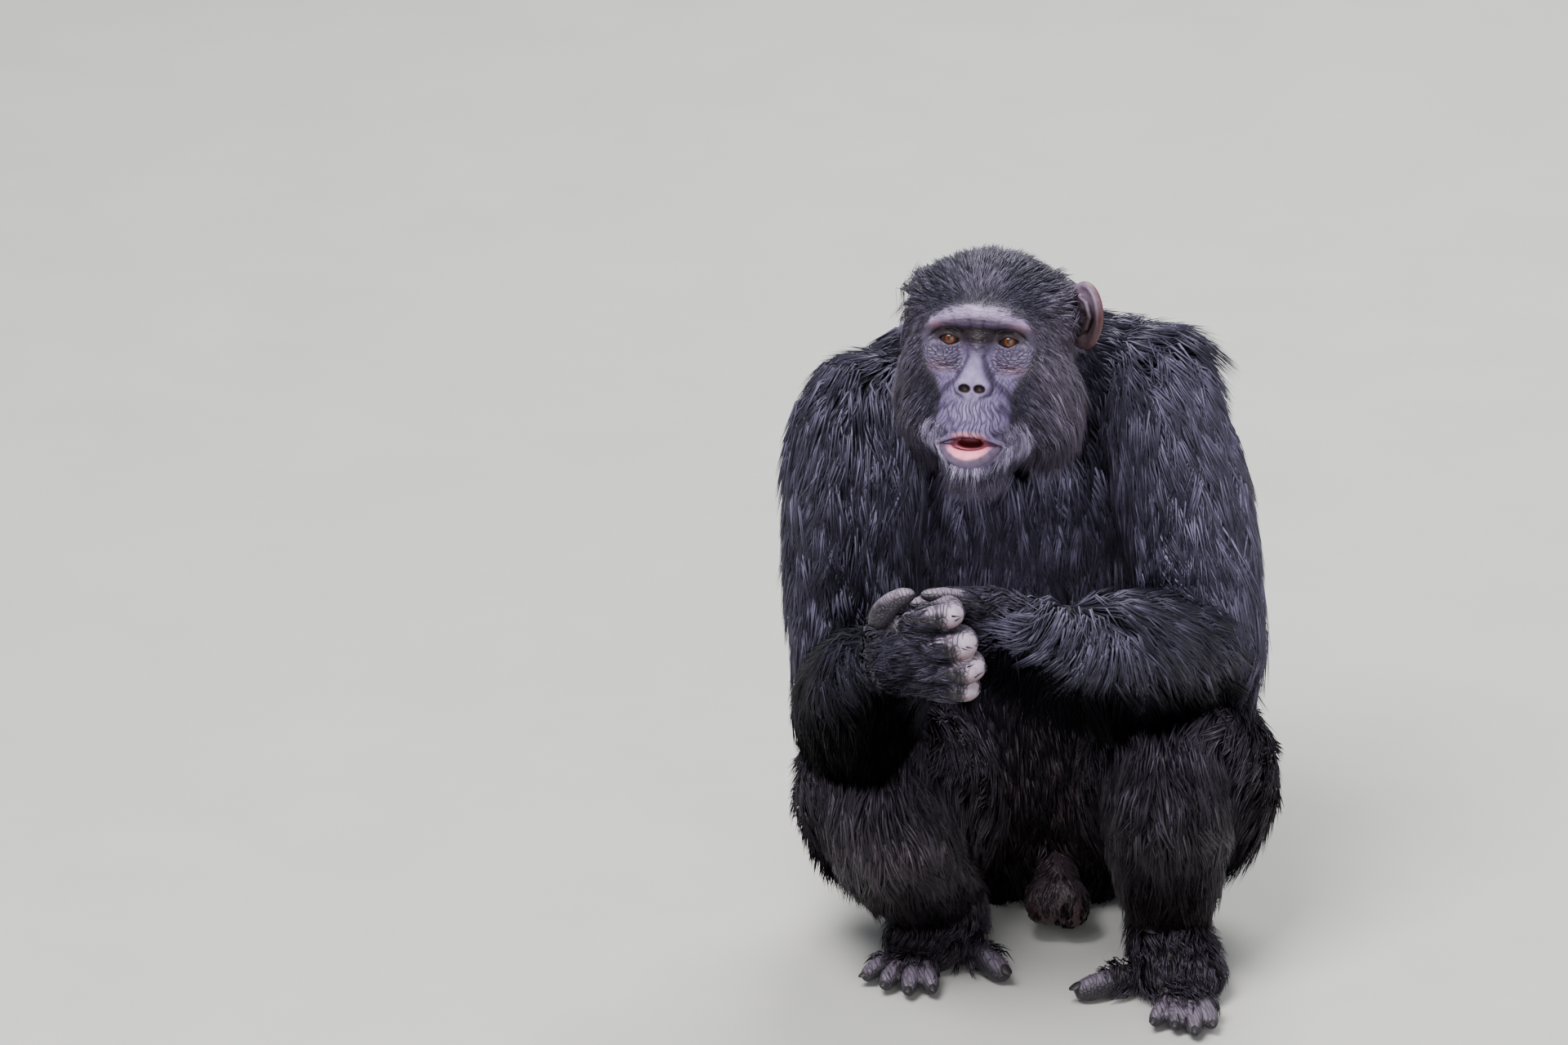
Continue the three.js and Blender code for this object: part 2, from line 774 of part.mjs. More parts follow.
// The coat of each part, by rows of locks

// A place on the head is a direction from its middle, in the head's own frame
function headSurface(direction) {
  const point = headSkin(new THREE.Vector3(...direction).normalize());
  const slope = ['x', 'y', 'z'].map((axis) => {
    const beside = point.clone();
    beside[axis] += 1;
    return headField(beside) - headField(point);
  });
  const normal = new THREE.Vector3(...slope).normalize().transformDirection(headPlace);
  return { point: point.applyMatrix4(headPlace), normal };
}

// Locks of the head between two arcs of roots and tips, from one side of the row to the other
function headRow({ roots, tips, count, width, tip }) {
  const locks = [];
  const wander = (place) => place.map((value) => value + (chance() - 0.5) * 5);
  for (let i = 0; i < count; i += 1) {
    const k = count === 1 ? 0.5 : i / (count - 1);
    locks.push(lock({
      surface: headSurface,
      from: wander(roots[0].map((value, axis) => mix(value, roots[1][axis], k))),
      to: wander(tips[0].map((value, axis) => mix(value, tips[1][axis], k))),
      width: width * vary(0.1),
      root: 2 - ROOT_SUNK,
      tip: tip * vary(0.1),
      curve: HEAD_CURVE,
    }));
  }
  return locks;
}

// Both sides of the head wear the same rows
function pairedRow(row) {
  const mirror = ([x, y, z]) => [-x, y, z];
  return [
    ...headRow(row),
    ...headRow({ ...row, roots: row.roots.map(mirror), tips: row.tips.map(mirror) }),
  ];
}

// The head's rows: where their first and last roots and tips lie, with how many, how wide and how deep
const BROW_TO_CROWN = {
  roots: [[-40, -46, 52], [40, -46, 52]], tips: [[-42, 4, 84], [42, 4, 84]], count: 4, width: 38, tip: 18,
};
const CROWN_TO_BACK = {
  roots: [[-46, 0, 70], [46, 0, 70]], tips: [[-56, 78, 54], [56, 78, 54]], count: 3, width: 52, tip: 18,
};
const TEMPLES = {
  roots: [[66, -28, 44], [76, 22, 48]], tips: [[76, 4, 20], [84, 64, 16]], count: 2, width: 44, tip: 22,
};
const WHISKERS = {
  roots: [[74, -18, 8], [70, -30, -14]], tips: [[88, 28, -30], [82, 22, -52]], count: 2, width: 38, tip: 34,
};
const JAW = {
  roots: [[58, -38, -34], [46, -44, -62]],
  tips: [[74, 10, -74], [56, -8, -100]],
  count: 2,
  width: 38,
  tip: 32,
};
const BEARD = {
  roots: [[-32, -56, -90], [32, -56, -90]],
  tips: [[-27, -42, -120], [27, -42, -120]],
  count: 4,
  width: 28,
  tip: 27,
};
const NAPE = {
  roots: [[-46, 60, 30], [46, 60, 30]], tips: [[-46, 88, -22], [46, 88, -22]], count: 2, width: 62, tip: 18,
};

function headCoatLocks() {
  return [
    ...headRow(BROW_TO_CROWN),
    ...headRow(CROWN_TO_BACK),
    ...pairedRow(TEMPLES),
    ...pairedRow(WHISKERS),
    ...pairedRow(JAW),
    ...headRow(BEARD),
    ...headRow(NAPE),
  ];
}

// The outer half turn of an arm or leg, on the animal's left or right
const OUTER = { left: [-2.1, 2.3], right: [Math.PI - 2.3, Math.PI + 2.1] };
const ALL_ROUND = [0, Math.PI * 2];

function armCoat(name) {
  const { upper, lower } = arm[name];
  const angles = OUTER[name];
  return {
    upper: [
      ...limbRow(upper, { row: 0.05, angles, count: 4, long: 110, wide: 72 }),
      ...limbRow(upper, { row: 0.34, angles, count: 4, long: 110, wide: 70 }),
      ...limbRow(upper, { row: 0.64, angles, count: 3, long: 100, wide: 76, held: [0.03, 0.86] }),
    ],
    lower: [
      ...limbRow(lower, { row: 0.42, angles: ALL_ROUND, count: 4, long: 90, wide: 66, lie: -1, rise: 2 }),
      ...limbRow(lower, { row: 0.74, angles: ALL_ROUND, count: 4, long: 90, wide: 58, lie: -1, rise: 2 }),
    ],
  };
}

function legCoat(name) {
  const { upper, lower } = leg[name];
  const angles = OUTER[name];
  return {
    upper: [
      ...limbRow(upper, { row: 0.14, angles, count: 4, long: 130, wide: 92, swirl: 0.1 }),
      ...limbRow(upper, { row: 0.5, angles, count: 3, long: 120, wide: 94, swirl: 0.1 }),
    ],
    lower: [
      ...limbRow(lower, { row: 0.1, angles: ALL_ROUND, count: 4, long: 110, wide: 76 }),
      ...limbRow(lower, { row: 0.5, angles: ALL_ROUND, count: 4, long: 100, wide: 70, held: [0.03, 0.9] }),
    ],
  };
}

const BACK_HALF = [-0.5, Math.PI + 0.5];
const FRONT = [-2.4, -0.7];

function chestCoat() {
  return [
    ...limbRow(trunkLimb, { row: 0.86, angles: BACK_HALF, count: 5, long: 170, wide: 108, lie: -1 }),
    ...limbRow(trunkLimb, { row: 0.66, angles: BACK_HALF, count: 5, long: 170, wide: 108, lie: -1 }),
    ...limbRow(trunkLimb, { row: 0.84, angles: FRONT, count: 3, long: 150, wide: 80, lie: -1 }),
    ...limbRow(yokeLimb, { row: 0.68, angles: [0.2, 2.9], count: 3, long: 90, wide: 66 }),
    ...limbRow(yokeLimb, { row: 0.32, angles: [0.2, 2.9], count: 3, long: 90, wide: 66, lie: -1 }),
  ];
}

function bellyCoat() {
  return [
    ...limbRow(trunkLimb, { row: 0.42, angles: BACK_HALF, count: 4, long: 140, wide: 112, lie: -1 }),
    ...limbRow(trunkLimb, { row: 0.25, angles: BACK_HALF, count: 3, long: 120, wide: 122, lie: -1 }),
  ];
}

const coat = {
  head: headCoatLocks(),
  neck: limbRow(makeNeckLimb(), { row: 0.86, angles: BACK_HALF, count: 4, long: 110, wide: 84, lie: -1 }),
  chest: chestCoat(),
  belly: bellyCoat(),
  arm_left: armCoat('left'),
  arm_right: armCoat('right'),
  leg_left: legCoat('left'),
  leg_right: legCoat('right'),
};

// All the nodes, those that keep their whole form first

const coatFinish = () => material(COLOUR.coat, 0.75);
const skinFinish = () => material(COLOUR.skin, 0.6);

// A limb's node: its core, cut to so many sides and rings, with its rows of locks
function limbNode(name, body, sides, locks) {
  return { name, form: piece(body.body(...sides)), locks, finish: coatFinish() };
}

const nodes = [
  { name: 'eye_left', form: makeEye(1), finish: material(COLOUR.eye, 0.15) },
  { name: 'eye_right', form: makeEye(-1), finish: material(COLOUR.eye, 0.15) },
  { name: 'head', form: makeHead(), locks: coat.head, finish: material(COLOUR.face, 0.6) },
  { name: 'ear_left', form: makeEar('left', 1), finish: material(COLOUR.ear, 0.6) },
  { name: 'ear_right', form: makeEar('right', -1), finish: material(COLOUR.ear, 0.6) },
  { name: 'hand_right', form: makeRightHand(), finish: skinFinish() },
  { name: 'hand_left', form: makeLeftHand(), finish: skinFinish() },
  limbNode('neck', makeNeckLimb(), [14, 8], coat.neck),
  limbNode('forearm_right', arm.right.lower, [12, 8], coat.arm_right.lower),
  limbNode('forearm_left', arm.left.lower, [12, 8], coat.arm_left.lower),
  limbNode('upper_arm_right', arm.right.upper, [12, 7], coat.arm_right.upper),
  limbNode('upper_arm_left', arm.left.upper, [12, 7], coat.arm_left.upper),
  { name: 'foot_right', form: makeFoot('right', -1), finish: skinFinish() },
  { name: 'foot_left', form: makeFoot('left', 1), finish: skinFinish() },
  limbNode('shin_right', leg.right.lower, [12, 7], coat.leg_right.lower),
  limbNode('shin_left', leg.left.lower, [12, 7], coat.leg_left.lower),
  { name: 'scrotum', form: makeScrotum(), finish: skinFinish() },
  limbNode('thigh_right', leg.right.upper, [12, 8], coat.leg_right.upper),
  limbNode('thigh_left', leg.left.upper, [12, 8], coat.leg_left.upper),
  { name: 'belly', form: makeBelly(), locks: coat.belly, finish: coatFinish() },
  { name: 'chest', form: makeChest(), locks: coat.chest, finish: coatFinish() },
];

// The ground as a block whose top is the floor, and another a little higher for the hair
const GROUND_SIZE = 2000;
const GROUND_DEPTH = 200;
const HAIR_CLEARANCE = 2;
const ground = new THREE.BoxGeometry(GROUND_SIZE, GROUND_SIZE, GROUND_DEPTH);
ground.translate(0, 0, -GROUND_DEPTH / 2);
const floorSolid = piece(ground).solid;
const lowestHair = piece(ground.clone().translate(0, 0, HAIR_CLEARANCE)).solid;

function core(node, earlier) {
  let { solid } = node.form;
  for (const other of earlier) {
    if (meets(solid, other.form.shell)) solid = solid.subtract(other.form.shell);
  }
  if (solid.boundingBox().min[2] < 0) solid = solid.subtract(floorSolid);
  return largest(solid);
}

// The least share of a lock that has to be left for it to be kept
const LOCK_KEPT = 0.6;

// A lock is cut clear of the other nodes, and left out where they would take most of it
function clearLock(strand, others, taken) {
  let { solid } = strand;
  const whole = solid.volume();
  for (const tool of [...others, ...taken, lowestHair]) {
    if (meets(solid, tool)) solid = solid.subtract(tool);
  }
  if (solid.isEmpty() || solid.volume() < whole * LOCK_KEPT) return null;
  return solid;
}

const takenByLocks = [];

function withCoat(node, base) {
  if (!node.locks) return base;
  const others = nodes.filter((other) => other !== node).map((other) => other.form.shell);
  let solid = base;
  let shells = null;
  for (const strand of node.locks) {
    const kept = clearLock(strand, others, takenByLocks);
    if (kept) {
      solid = solid.add(kept);
      shells = shells ? shells.add(strand.shell) : strand.shell;
    }
  }
  if (shells) takenByLocks.push(shells);
  return largest(solid);
}

function meshOf(solid, node) {
  const data = solid.getMesh();
  const geometry = new THREE.BufferGeometry();
  geometry.setAttribute('position', new THREE.BufferAttribute(new Float32Array(data.vertProperties), 3));
  geometry.setIndex(new THREE.BufferAttribute(new Uint32Array(data.triVerts), 1));
  geometry.computeVertexNormals();
  const mesh = new THREE.Mesh(geometry, node.finish);
  mesh.name = node.name;
  return mesh;
}

// The whole animal is set with the middle of its box over the origin
const group = new THREE.Group();
nodes.forEach((node, i) => group.add(meshOf(withCoat(node, core(node, nodes.slice(0, i))), node)));
const middle = new THREE.Box3().setFromObject(group).getCenter(new THREE.Vector3());
group.position.set(-middle.x, -middle.y, 0);

export default group;
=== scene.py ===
# A life-size adult male chimpanzee, sitting with its knees drawn up and its hands together.
# The animal is worked out in millimetres in its own frame, and set into the CAD frame in metres.
import math

import bpy
import numpy as np
from mathutils import Matrix, Vector
from mathutils.bvhtree import BVHTree
from mathutils.kdtree import KDTree


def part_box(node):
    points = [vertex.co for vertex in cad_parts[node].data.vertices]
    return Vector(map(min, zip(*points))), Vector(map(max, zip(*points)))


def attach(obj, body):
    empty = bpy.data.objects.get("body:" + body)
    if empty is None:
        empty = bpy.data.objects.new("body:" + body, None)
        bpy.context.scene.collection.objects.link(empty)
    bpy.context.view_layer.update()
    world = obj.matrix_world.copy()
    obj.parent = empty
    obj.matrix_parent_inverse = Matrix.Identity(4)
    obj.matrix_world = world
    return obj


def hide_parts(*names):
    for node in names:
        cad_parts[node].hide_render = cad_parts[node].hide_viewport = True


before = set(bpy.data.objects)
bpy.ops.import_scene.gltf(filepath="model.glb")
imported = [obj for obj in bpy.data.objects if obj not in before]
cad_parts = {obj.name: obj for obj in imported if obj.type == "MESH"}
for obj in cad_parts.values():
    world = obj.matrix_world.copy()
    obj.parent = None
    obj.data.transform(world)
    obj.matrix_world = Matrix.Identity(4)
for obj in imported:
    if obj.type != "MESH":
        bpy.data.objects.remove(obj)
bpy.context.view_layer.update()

# The camera and the animal's own frame.
# The two eyeballs are the best fixed points of the animal: they give the head's place and turn,
# and with them where the origin of its own frame lies in the CAD frame.
MM = 0.001
EYE_POINT = np.array([-67.0, -205.0, 694.0])
HEAD_TILT = math.radians(-12)
EYE_SET_BACK = 8.5


def node_middle(name):
    low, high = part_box(name)
    return np.array(low + high) / 2 / MM


left_eye, right_eye = node_middle("eye_left"), node_middle("eye_right")
eye_line = left_eye - right_eye
EYE_SPACING = float(np.linalg.norm(eye_line))
HEAD_TURN = math.atan2(eye_line[1], eye_line[0])
head_turning = np.array(Matrix.Rotation(HEAD_TURN, 3, "Z") @ Matrix.Rotation(HEAD_TILT, 3, "X"))
head_origin = (left_eye + right_eye) / 2 - head_turning @ np.array([0, EYE_SET_BACK, 0])
FRAME_SHIFT = head_origin - EYE_POINT


def set_in(points):
    """Points of the animal's own frame, in millimetres, as places of the CAD frame in metres."""
    return (np.asarray(points, float) + FRAME_SHIFT) * MM


def from_head(points):
    """Points of the head's frame, in millimetres, in the animal's own frame."""
    return np.asarray(points, float) @ head_turning.T + EYE_POINT


def to_head(points):
    return (np.asarray(points, float) - EYE_POINT) @ head_turning


CAMERA_DISTANCE = 14000
CAMERA_PITCH = math.radians(22)
CAMERA_LENS = 330.75
LOOK_AT = np.array([-252.4, -50, 330])
LOOK_RISE = 106.5

camera_data = bpy.data.cameras.new("camera")
camera_data.lens = CAMERA_LENS
camera_data.sensor_width = 36
camera_data.clip_end = 60
camera = bpy.data.objects.new("camera", camera_data)
bpy.context.scene.collection.objects.link(camera)
view_line = np.array([0, math.cos(CAMERA_PITCH), -math.sin(CAMERA_PITCH)])
view_up = np.array([0, math.sin(CAMERA_PITCH), math.cos(CAMERA_PITCH)])
camera.location = set_in(LOOK_AT - view_line * CAMERA_DISTANCE + view_up * LOOK_RISE)
camera.rotation_euler = (math.pi / 2 - CAMERA_PITCH, 0, 0)
bpy.context.scene.camera = camera


# The skin of the trunk, arms and legs.
# A real hide is one skin over muscle and fat. Each part is a round-ended body along its bone line,
# and all of them are fused and smoothed so that muscles run into one another.
def spline(points):
    """A smooth curve through points: one cubic for each stretch between two of them."""
    p = np.array(points, float)
    p = np.vstack([2 * p[0] - p[1], p, 2 * p[-1] - p[-2]])
    step = np.maximum(np.sum(np.diff(p, axis=0) ** 2, axis=1), 1e-9) ** 0.25
    before, start, end, after = p[:-3], p[1:-2], p[2:-1], p[3:]
    a, b, c = step[:-2, None], step[1:-1, None], step[2:, None]
    leave = ((start - before) / a - (end - before) / (a + b) + (end - start) / b) * b
    arrive = ((end - start) / b - (after - start) / (b + c) + (after - end) / c) * b
    square, cube = 3 * (end - start) - 2 * leave - arrive, 2 * (start - end) + leave + arrive
    return np.stack([start, leave, square, cube])


def reach(values, share):
    """The value of an evenly spaced list at a share of its length, eased between its entries."""
    values = np.asarray(values, float)
    place = np.clip(share, 0, 1) * (len(values) - 1)
    i = np.minimum(place.astype(int), len(values) - 2)
    k = place - i
    k = (k * k * (3 - 2 * k) + k) / 2
    return values[i] * (1 - k) + values[i + 1] * k


def unit(vectors):
    return vectors / np.maximum(np.linalg.norm(vectors, axis=-1, keepdims=True), 1e-9)


class Limb:
    """A round-ended body along a line, with its own widths, depths and depth of coat."""

    def __init__(self, line, wide, deep=None, coat=(0, 0), side=(1, 0, 0), blunt=(3, 3)):
        self.curve = spline(line)
        self.wide, self.deep, self.coat = wide, deep or wide, coat
        self.side = np.array(side, float)
        self.blunt = blunt
        walk = self.frame(np.linspace(0, 1, 201))[0]
        self.length = float(np.sum(np.linalg.norm(np.diff(walk, axis=0), axis=1)))

    def frame(self, s):
        """The middle of the limb at a share of its length, and the directions along and across it."""
        s = np.asarray(s, float)
        inside = np.clip(s, 0, 1)
        stretches = self.curve.shape[1]
        place = inside * stretches
        i = np.minimum(place.astype(int), stretches - 1)
        k = (place - i)[..., None]
        c0, c1, c2, c3 = (self.curve[n][i] for n in range(4))
        centre = c0 + c1 * k + c2 * k ** 2 + c3 * k ** 3
        along = unit(c1 + 2 * c2 * k + 3 * c3 * k ** 2)
        if hasattr(self, "length"):
            centre = centre + along * ((s - inside) * self.length)[..., None]
        across = unit(self.side - along * np.sum(along * self.side, axis=-1, keepdims=True))
        return centre, along, across, np.cross(along, across)

    def round_at(self, s):
        """How much of its width the limb has there: all of it at the middle, nothing at the ends."""
        end = np.where(s < 0.5, *self.blunt)
        return np.maximum(1 - np.abs(2 * s - 1) ** end, 0) ** (1 / end)

    def skin(self, s, angle):
        centre, _, x, y = self.frame(s)
        wide = (reach(self.wide, s) * np.cos(angle) * self.round_at(s))[..., None]
        deep = (reach(self.deep, s) * np.sin(angle) * self.round_at(s))[..., None]
        return centre + x * wide + y * deep

    def locate(self, points):
        """Share along the limb, angle round it and how far out each point lies, 1 on the skin."""
        steps = 90
        shares = np.linspace(0, 1, steps)
        centres, _, across, up = self.frame(shares)
        best = np.full(len(points), np.inf)
        nearest = np.zeros(len(points), int)
        for i, centre in enumerate(centres):
            gap = np.sum((points - centre) ** 2, axis=1)
            closer = gap < best
            best[closer], nearest[closer] = gap[closer], i
        offset = points - centres[nearest]
        x = np.sum(offset * across[nearest], axis=1)
        y = np.sum(offset * up[nearest], axis=1)
        angle = np.arctan2(y, x)
        share = shares[nearest]
        radius = np.hypot(reach(self.wide, share) * np.cos(angle), reach(self.deep, share) * np.sin(angle))
        return share, angle, np.sqrt(best) / radius


def at(a, b, k, shift=(0, 0, 0)):
    """The point a share k of the way between two joints, moved by a shift."""
    return tuple(p + (q - p) * k + d for p, q, d in zip(a, b, shift))


SHOULDER = {"left": (104, 12, 576), "right": (-176, -18, 570)}
ELBOW = {"left": (158, -108, 330), "right": (-186, -108, 278)}
WRIST = {"left": (-28, -288, 430), "right": (-158, -335, 420)}
HIP = {"left": (124, 56, 118), "right": (-110, 56, 118)}
KNEE = {"left": (112, -205, 276), "right": (-162, -205, 236)}
ANKLE = {"left": (122, -130, 66), "right": (-96, -68, 64)}
HEEL = {"left": (118, -88, 24), "right": (-84, -20, 24)}
BALL = {"left": (140, -222, 20), "right": (-122, -136, 20)}
ARM_BOW = {"left": (8, 4, 0), "right": (-6, 4, 0)}
THIGH_BOW = {"left": (12, 0, -4), "right": (-10, 0, -4)}
CALF_BOW = {"left": (3, 2, 0), "right": (-8, -12, -6)}

limbs = {
    "trunk": Limb(
        line=[(4, 76, 6), (2, 80, 80), (-6, 84, 170), (-18, 82, 270),
              (-28, 74, 370), (-34, 54, 460), (-36, 20, 540), (-38, -14, 600)],
        wide=(92, 124, 128, 128, 138, 146, 126, 90),
        deep=(64, 88, 100, 102, 106, 102, 88, 68),
        coat=(12, 16, 18, 18, 20, 22, 24, 22),
        blunt=(3.4, 2.6),
    ),
    "yoke": Limb(
        line=[(-168, -2, 554), (-100, 16, 560), (-36, 28, 562), (34, 24, 562), (98, 16, 572)],
        wide=(52, 62, 66, 62, 52),
        coat=(22, 24, 24, 24, 22),
        side=(0, 1, 0),
    ),
    "neck": Limb(
        line=[(-36, 16, 540), (-42, -40, 612), (-50, -92, 664)],
        wide=(80, 74, 64),
        deep=(70, 68, 60),
        coat=(22, 18, 10),
    ),
}
for side in ("left", "right"):
    shoulder, elbow, wrist = SHOULDER[side], ELBOW[side], WRIST[side]
    knee, ankle = KNEE[side], ANKLE[side]
    limbs[f"upper_arm_{side}"] = Limb(
        line=[at(shoulder, elbow, -0.08), at(shoulder, elbow, 0.5, ARM_BOW[side]), at(shoulder, elbow, 1.12)],
        wide=(58, 60, 54, 47, 42),
        coat=(22, 22, 20, 20, 18),
        blunt=(3, 4),
    )
    limbs[f"forearm_{side}"] = Limb(
        line=[at(elbow, wrist, -0.08), at(elbow, wrist, 0.5, (0, -4, -6)), at(elbow, wrist, 1.1)],
        wide=(38, 46, 43, 36, 27),
        coat=(18, 22, 26, 26, 10),
        side=(0, 0, 1),
        blunt=(4, 2.6),
    )
    limbs[f"thigh_{side}"] = Limb(
        line=[HIP[side], at(HIP[side], knee, 0.5, THIGH_BOW[side]), knee],
        wide=(92, 88, 78, 68, 58),
        coat=(32, 32, 28, 22, 18),
        blunt=(3.4, 2.6),
    )
    limbs[f"shin_{side}"] = Limb(
        line=[at(knee, ankle, -0.02, (0, -6, 0)), at(knee, ankle, 0.4, CALF_BOW[side]), at(knee, ankle, 1.1)],
        wide=(40, 51, 50, 40, 30),
        coat=(16, 20, 22, 22, 20),
        blunt=(2.6, 3.4),
    )


def only_nothing():
    bpy.ops.object.select_all(action="DESELECT")


def only(*things):
    """Selects these objects and nothing else; the first is the active one."""
    only_nothing()
    for thing in things:
        thing.select_set(True)
    bpy.context.view_layer.objects.active = things[0]


def places_of(thing):
    places = np.empty(len(thing.data.vertices) * 3)
    thing.data.vertices.foreach_get("co", places)
    return places.reshape(-1, 3)


def move_points(thing, places):
    thing.data.vertices.foreach_set("co", np.ascontiguousarray(places, float).ravel())
    thing.data.update()


def round_form(name, segments, rings):
    """A unit sphere at the origin, to be shaped by moving its points."""
    only_nothing()
    bpy.ops.mesh.primitive_uv_sphere_add(segments=segments, ring_count=rings, radius=1)
    form = bpy.context.object
    form.name = name
    return form


def limb_form(name, limb, segments=32, rings=28):
    form = round_form(name, segments, rings)
    p = unit(places_of(form))
    polar = np.arccos(np.clip(p[:, 2], -1, 1))
    share = 0.35 * polar / math.pi + 0.65 * (1 - np.cos(polar)) / 2
    move_points(form, set_in(limb.skin(share, np.arctan2(p[:, 1], p[:, 0]))))
    return form


def oval_form(name, centre, radii):
    form = round_form(name, segments=24, rings=16)
    move_points(form, set_in(places_of(form) * np.array(radii) + np.array(centre)))
    return form


def fused(name, forms, voxel, smoothing):
    """Forms joined into one closed skin, with the creases between them smoothed."""
    only(*forms)
    bpy.ops.object.join()
    body = bpy.context.object
    body.name = name
    remesh = body.modifiers.new("fuse", "REMESH")
    remesh.mode = "VOXEL"
    remesh.voxel_size = voxel * MM
    bpy.ops.object.modifier_apply(modifier=remesh.name)
    smooth = body.modifiers.new("smooth", "SMOOTH")
    smooth.factor = 0.5
    smooth.iterations = smoothing
    bpy.ops.object.modifier_apply(modifier=smooth.name)
    return body


trunk_forms = [limb_form(name, limb) for name, limb in limbs.items()]
trunk_forms += [
    oval_form("rump_left", (46, 78, 24), (40, 44, 24)),
    oval_form("rump_right", (-42, 78, 24), (40, 44, 24)),
    oval_form("scrotum_left", (28, -44, 40), (20, 22, 26)),
    oval_form("scrotum_right", (2, -42, 42), (19, 22, 25)),
    oval_form("scrotum_root", (15, -16, 54), (22, 32, 24)),
]
body = fused("body", trunk_forms, voxel=5, smoothing=8)


# The head's skin.
# The face is bare, folded skin over a heavy brow ridge, a flat nose and a long mobile muzzle. It is
# worked out as rounded forms joined softly, with sockets, nostrils, mouth, ear cups and folds cut in.
def oval(p, centre, radii):
    """Distance from an ellipsoid, close to exact near its surface."""
    q = p - np.array(centre, np.float32)
    k0 = np.linalg.norm(q / np.array(radii, np.float32), axis=-1)
    k1 = np.linalg.norm(q / np.array(radii, np.float32) ** 2, axis=-1)
    return k0 * (k0 - 1) / np.maximum(k1, 1e-6)


def soft_join(a, b, k):
    h = np.maximum(k - np.abs(a - b), 0) / k
    return np.minimum(a, b) - h * h * k / 4


def soft_cut(a, b, k):
    return -soft_join(-a, b, k)


def bar(p, line, radii):
    """Distance from a round bar along a line of points, with its own radius at each."""
    radii = np.broadcast_to(np.array(radii, np.float32), (len(line),))
    best = np.full(p.shape[:-1], np.inf, np.float32)
    for (a, b), (ra, rb) in zip(zip(line[:-1], line[1:]), zip(radii[:-1], radii[1:])):
        a, b = np.array(a, np.float32), np.array(b, np.float32)
        step = b - a
        k = np.clip((p - a) @ step / (step @ step), 0, 1)
        best = np.minimum(best, np.linalg.norm(p - a - k[..., None] * step, axis=-1) - (ra + (rb - ra) * k))
    return best


def bow(half_width, low, high, front, back):
    """Points of an arc from one corner to the other, rising and coming forward at its middle."""
    k = np.linspace(-1, 1, 9)
    arch = 1 - k * k
    return np.stack([k * half_width, back + (front - back) * arch, low + (high - low) * arch], axis=1)


# Each rounded form of the head has its middle, its radii and how softly it joins the rest
SKULL = [((0, 74, 10), (71, 80, 55), 1), ((0, 42, -86), (48, 48, 38), 26)]
CHEEKS = [((40, 17, -20), (26, 25, 24), 20), ((41, 48, -54), (28, 38, 44), 26)]
MUZZLE = [
    ((0, 4, -56), (35, 42, 34), 20),
    ((0, -13, -74), (37, 34, 18), 14),
    ((0, -4, -101), (33, 37, 15), 9),
    ((0, 9, -112), (30, 32, 17), 10),
]
BROW_LINE = [(0, -8, 25), (13, -10.5, 26), (27, -8.5, 24.5), (40, 0, 18), (50, 12, 8)]
BROW_RADII = (8.2, 9.6, 9.8, 8.8, 6.5)
SOCKET = ((28.5, -14, 1), (18, 17, 12), 8)
BRIDGE = ((0, -2, -12), (9, 11, 24), 8)
POUCH = ((28, 0, -17), (13, 9, 6), 6)
EYE_PLACE = (EYE_SPACING / 2, EYE_SET_BACK, 0)
EYE_RADIUS = 11.2
LID = ((EYE_SPACING / 2, EYE_SET_BACK + 0.6, 0), (14.2, 13.9, 13), 4)
NOSE = [
    ((0, -11, -24), (12, 14, 18), 9),
    ((0, -24, -32), (16, 14, 14), 9),
    ((9.5, -30, -38), (10.5, 9, 8.5), 5),
]
NOSTRIL = ((7.2, -39.5, -40.5), (5.3, 7, 4.2))
MOUTH_CAVITY = ((0, -46, -91), (17, 20, 5.6))
UPPER_LIP = bow(29, -94, -81.5, -51, -31)
UPPER_LIP_RADII = (2.4, 3.4, 4.1, 4.4, 4.5, 4.4, 4.1, 3.4, 2.4)
LOWER_LIP = bow(30, -94, -105, -53, -31)
LOWER_LIP_RADII = (2.4, 5.2, 8, 9.6, 10.2, 9.6, 8, 5.2, 2.4)
EYE_SLIT = ((EYE_SPACING / 2, -4, 0), (10.6, 12, 6.0))
LID_RISES = (6.8, -6.1)
LID_RADII = (0.8, 1.3, 1.6, 1.7, 1.6, 1.3, 0.8)
LID_HALF_WIDTH = 10.4


def lid_line(rise):
    """The edge of a lid, lying on the eyeball from corner to corner."""
    k = np.linspace(-1, 1, 7)
    arch = 1 - k * k
    out = np.sqrt(np.maximum(EYE_RADIUS ** 2 - (k * LID_HALF_WIDTH) ** 2 - (rise * arch) ** 2, 1)) + 1.1
    return np.stack([EYE_SPACING / 2 + k * LID_HALF_WIDTH, EYE_SET_BACK - out, rise * arch + k * 1.2], axis=1)


EAR = {"left": (92, 70, 19), "right": (-70, 76, 8)}
EAR_TURN = {"left": -0.62, "right": 1.45}
EAR_WIDTH, EAR_THICKNESS, EAR_HEIGHT = 23, 9, 33


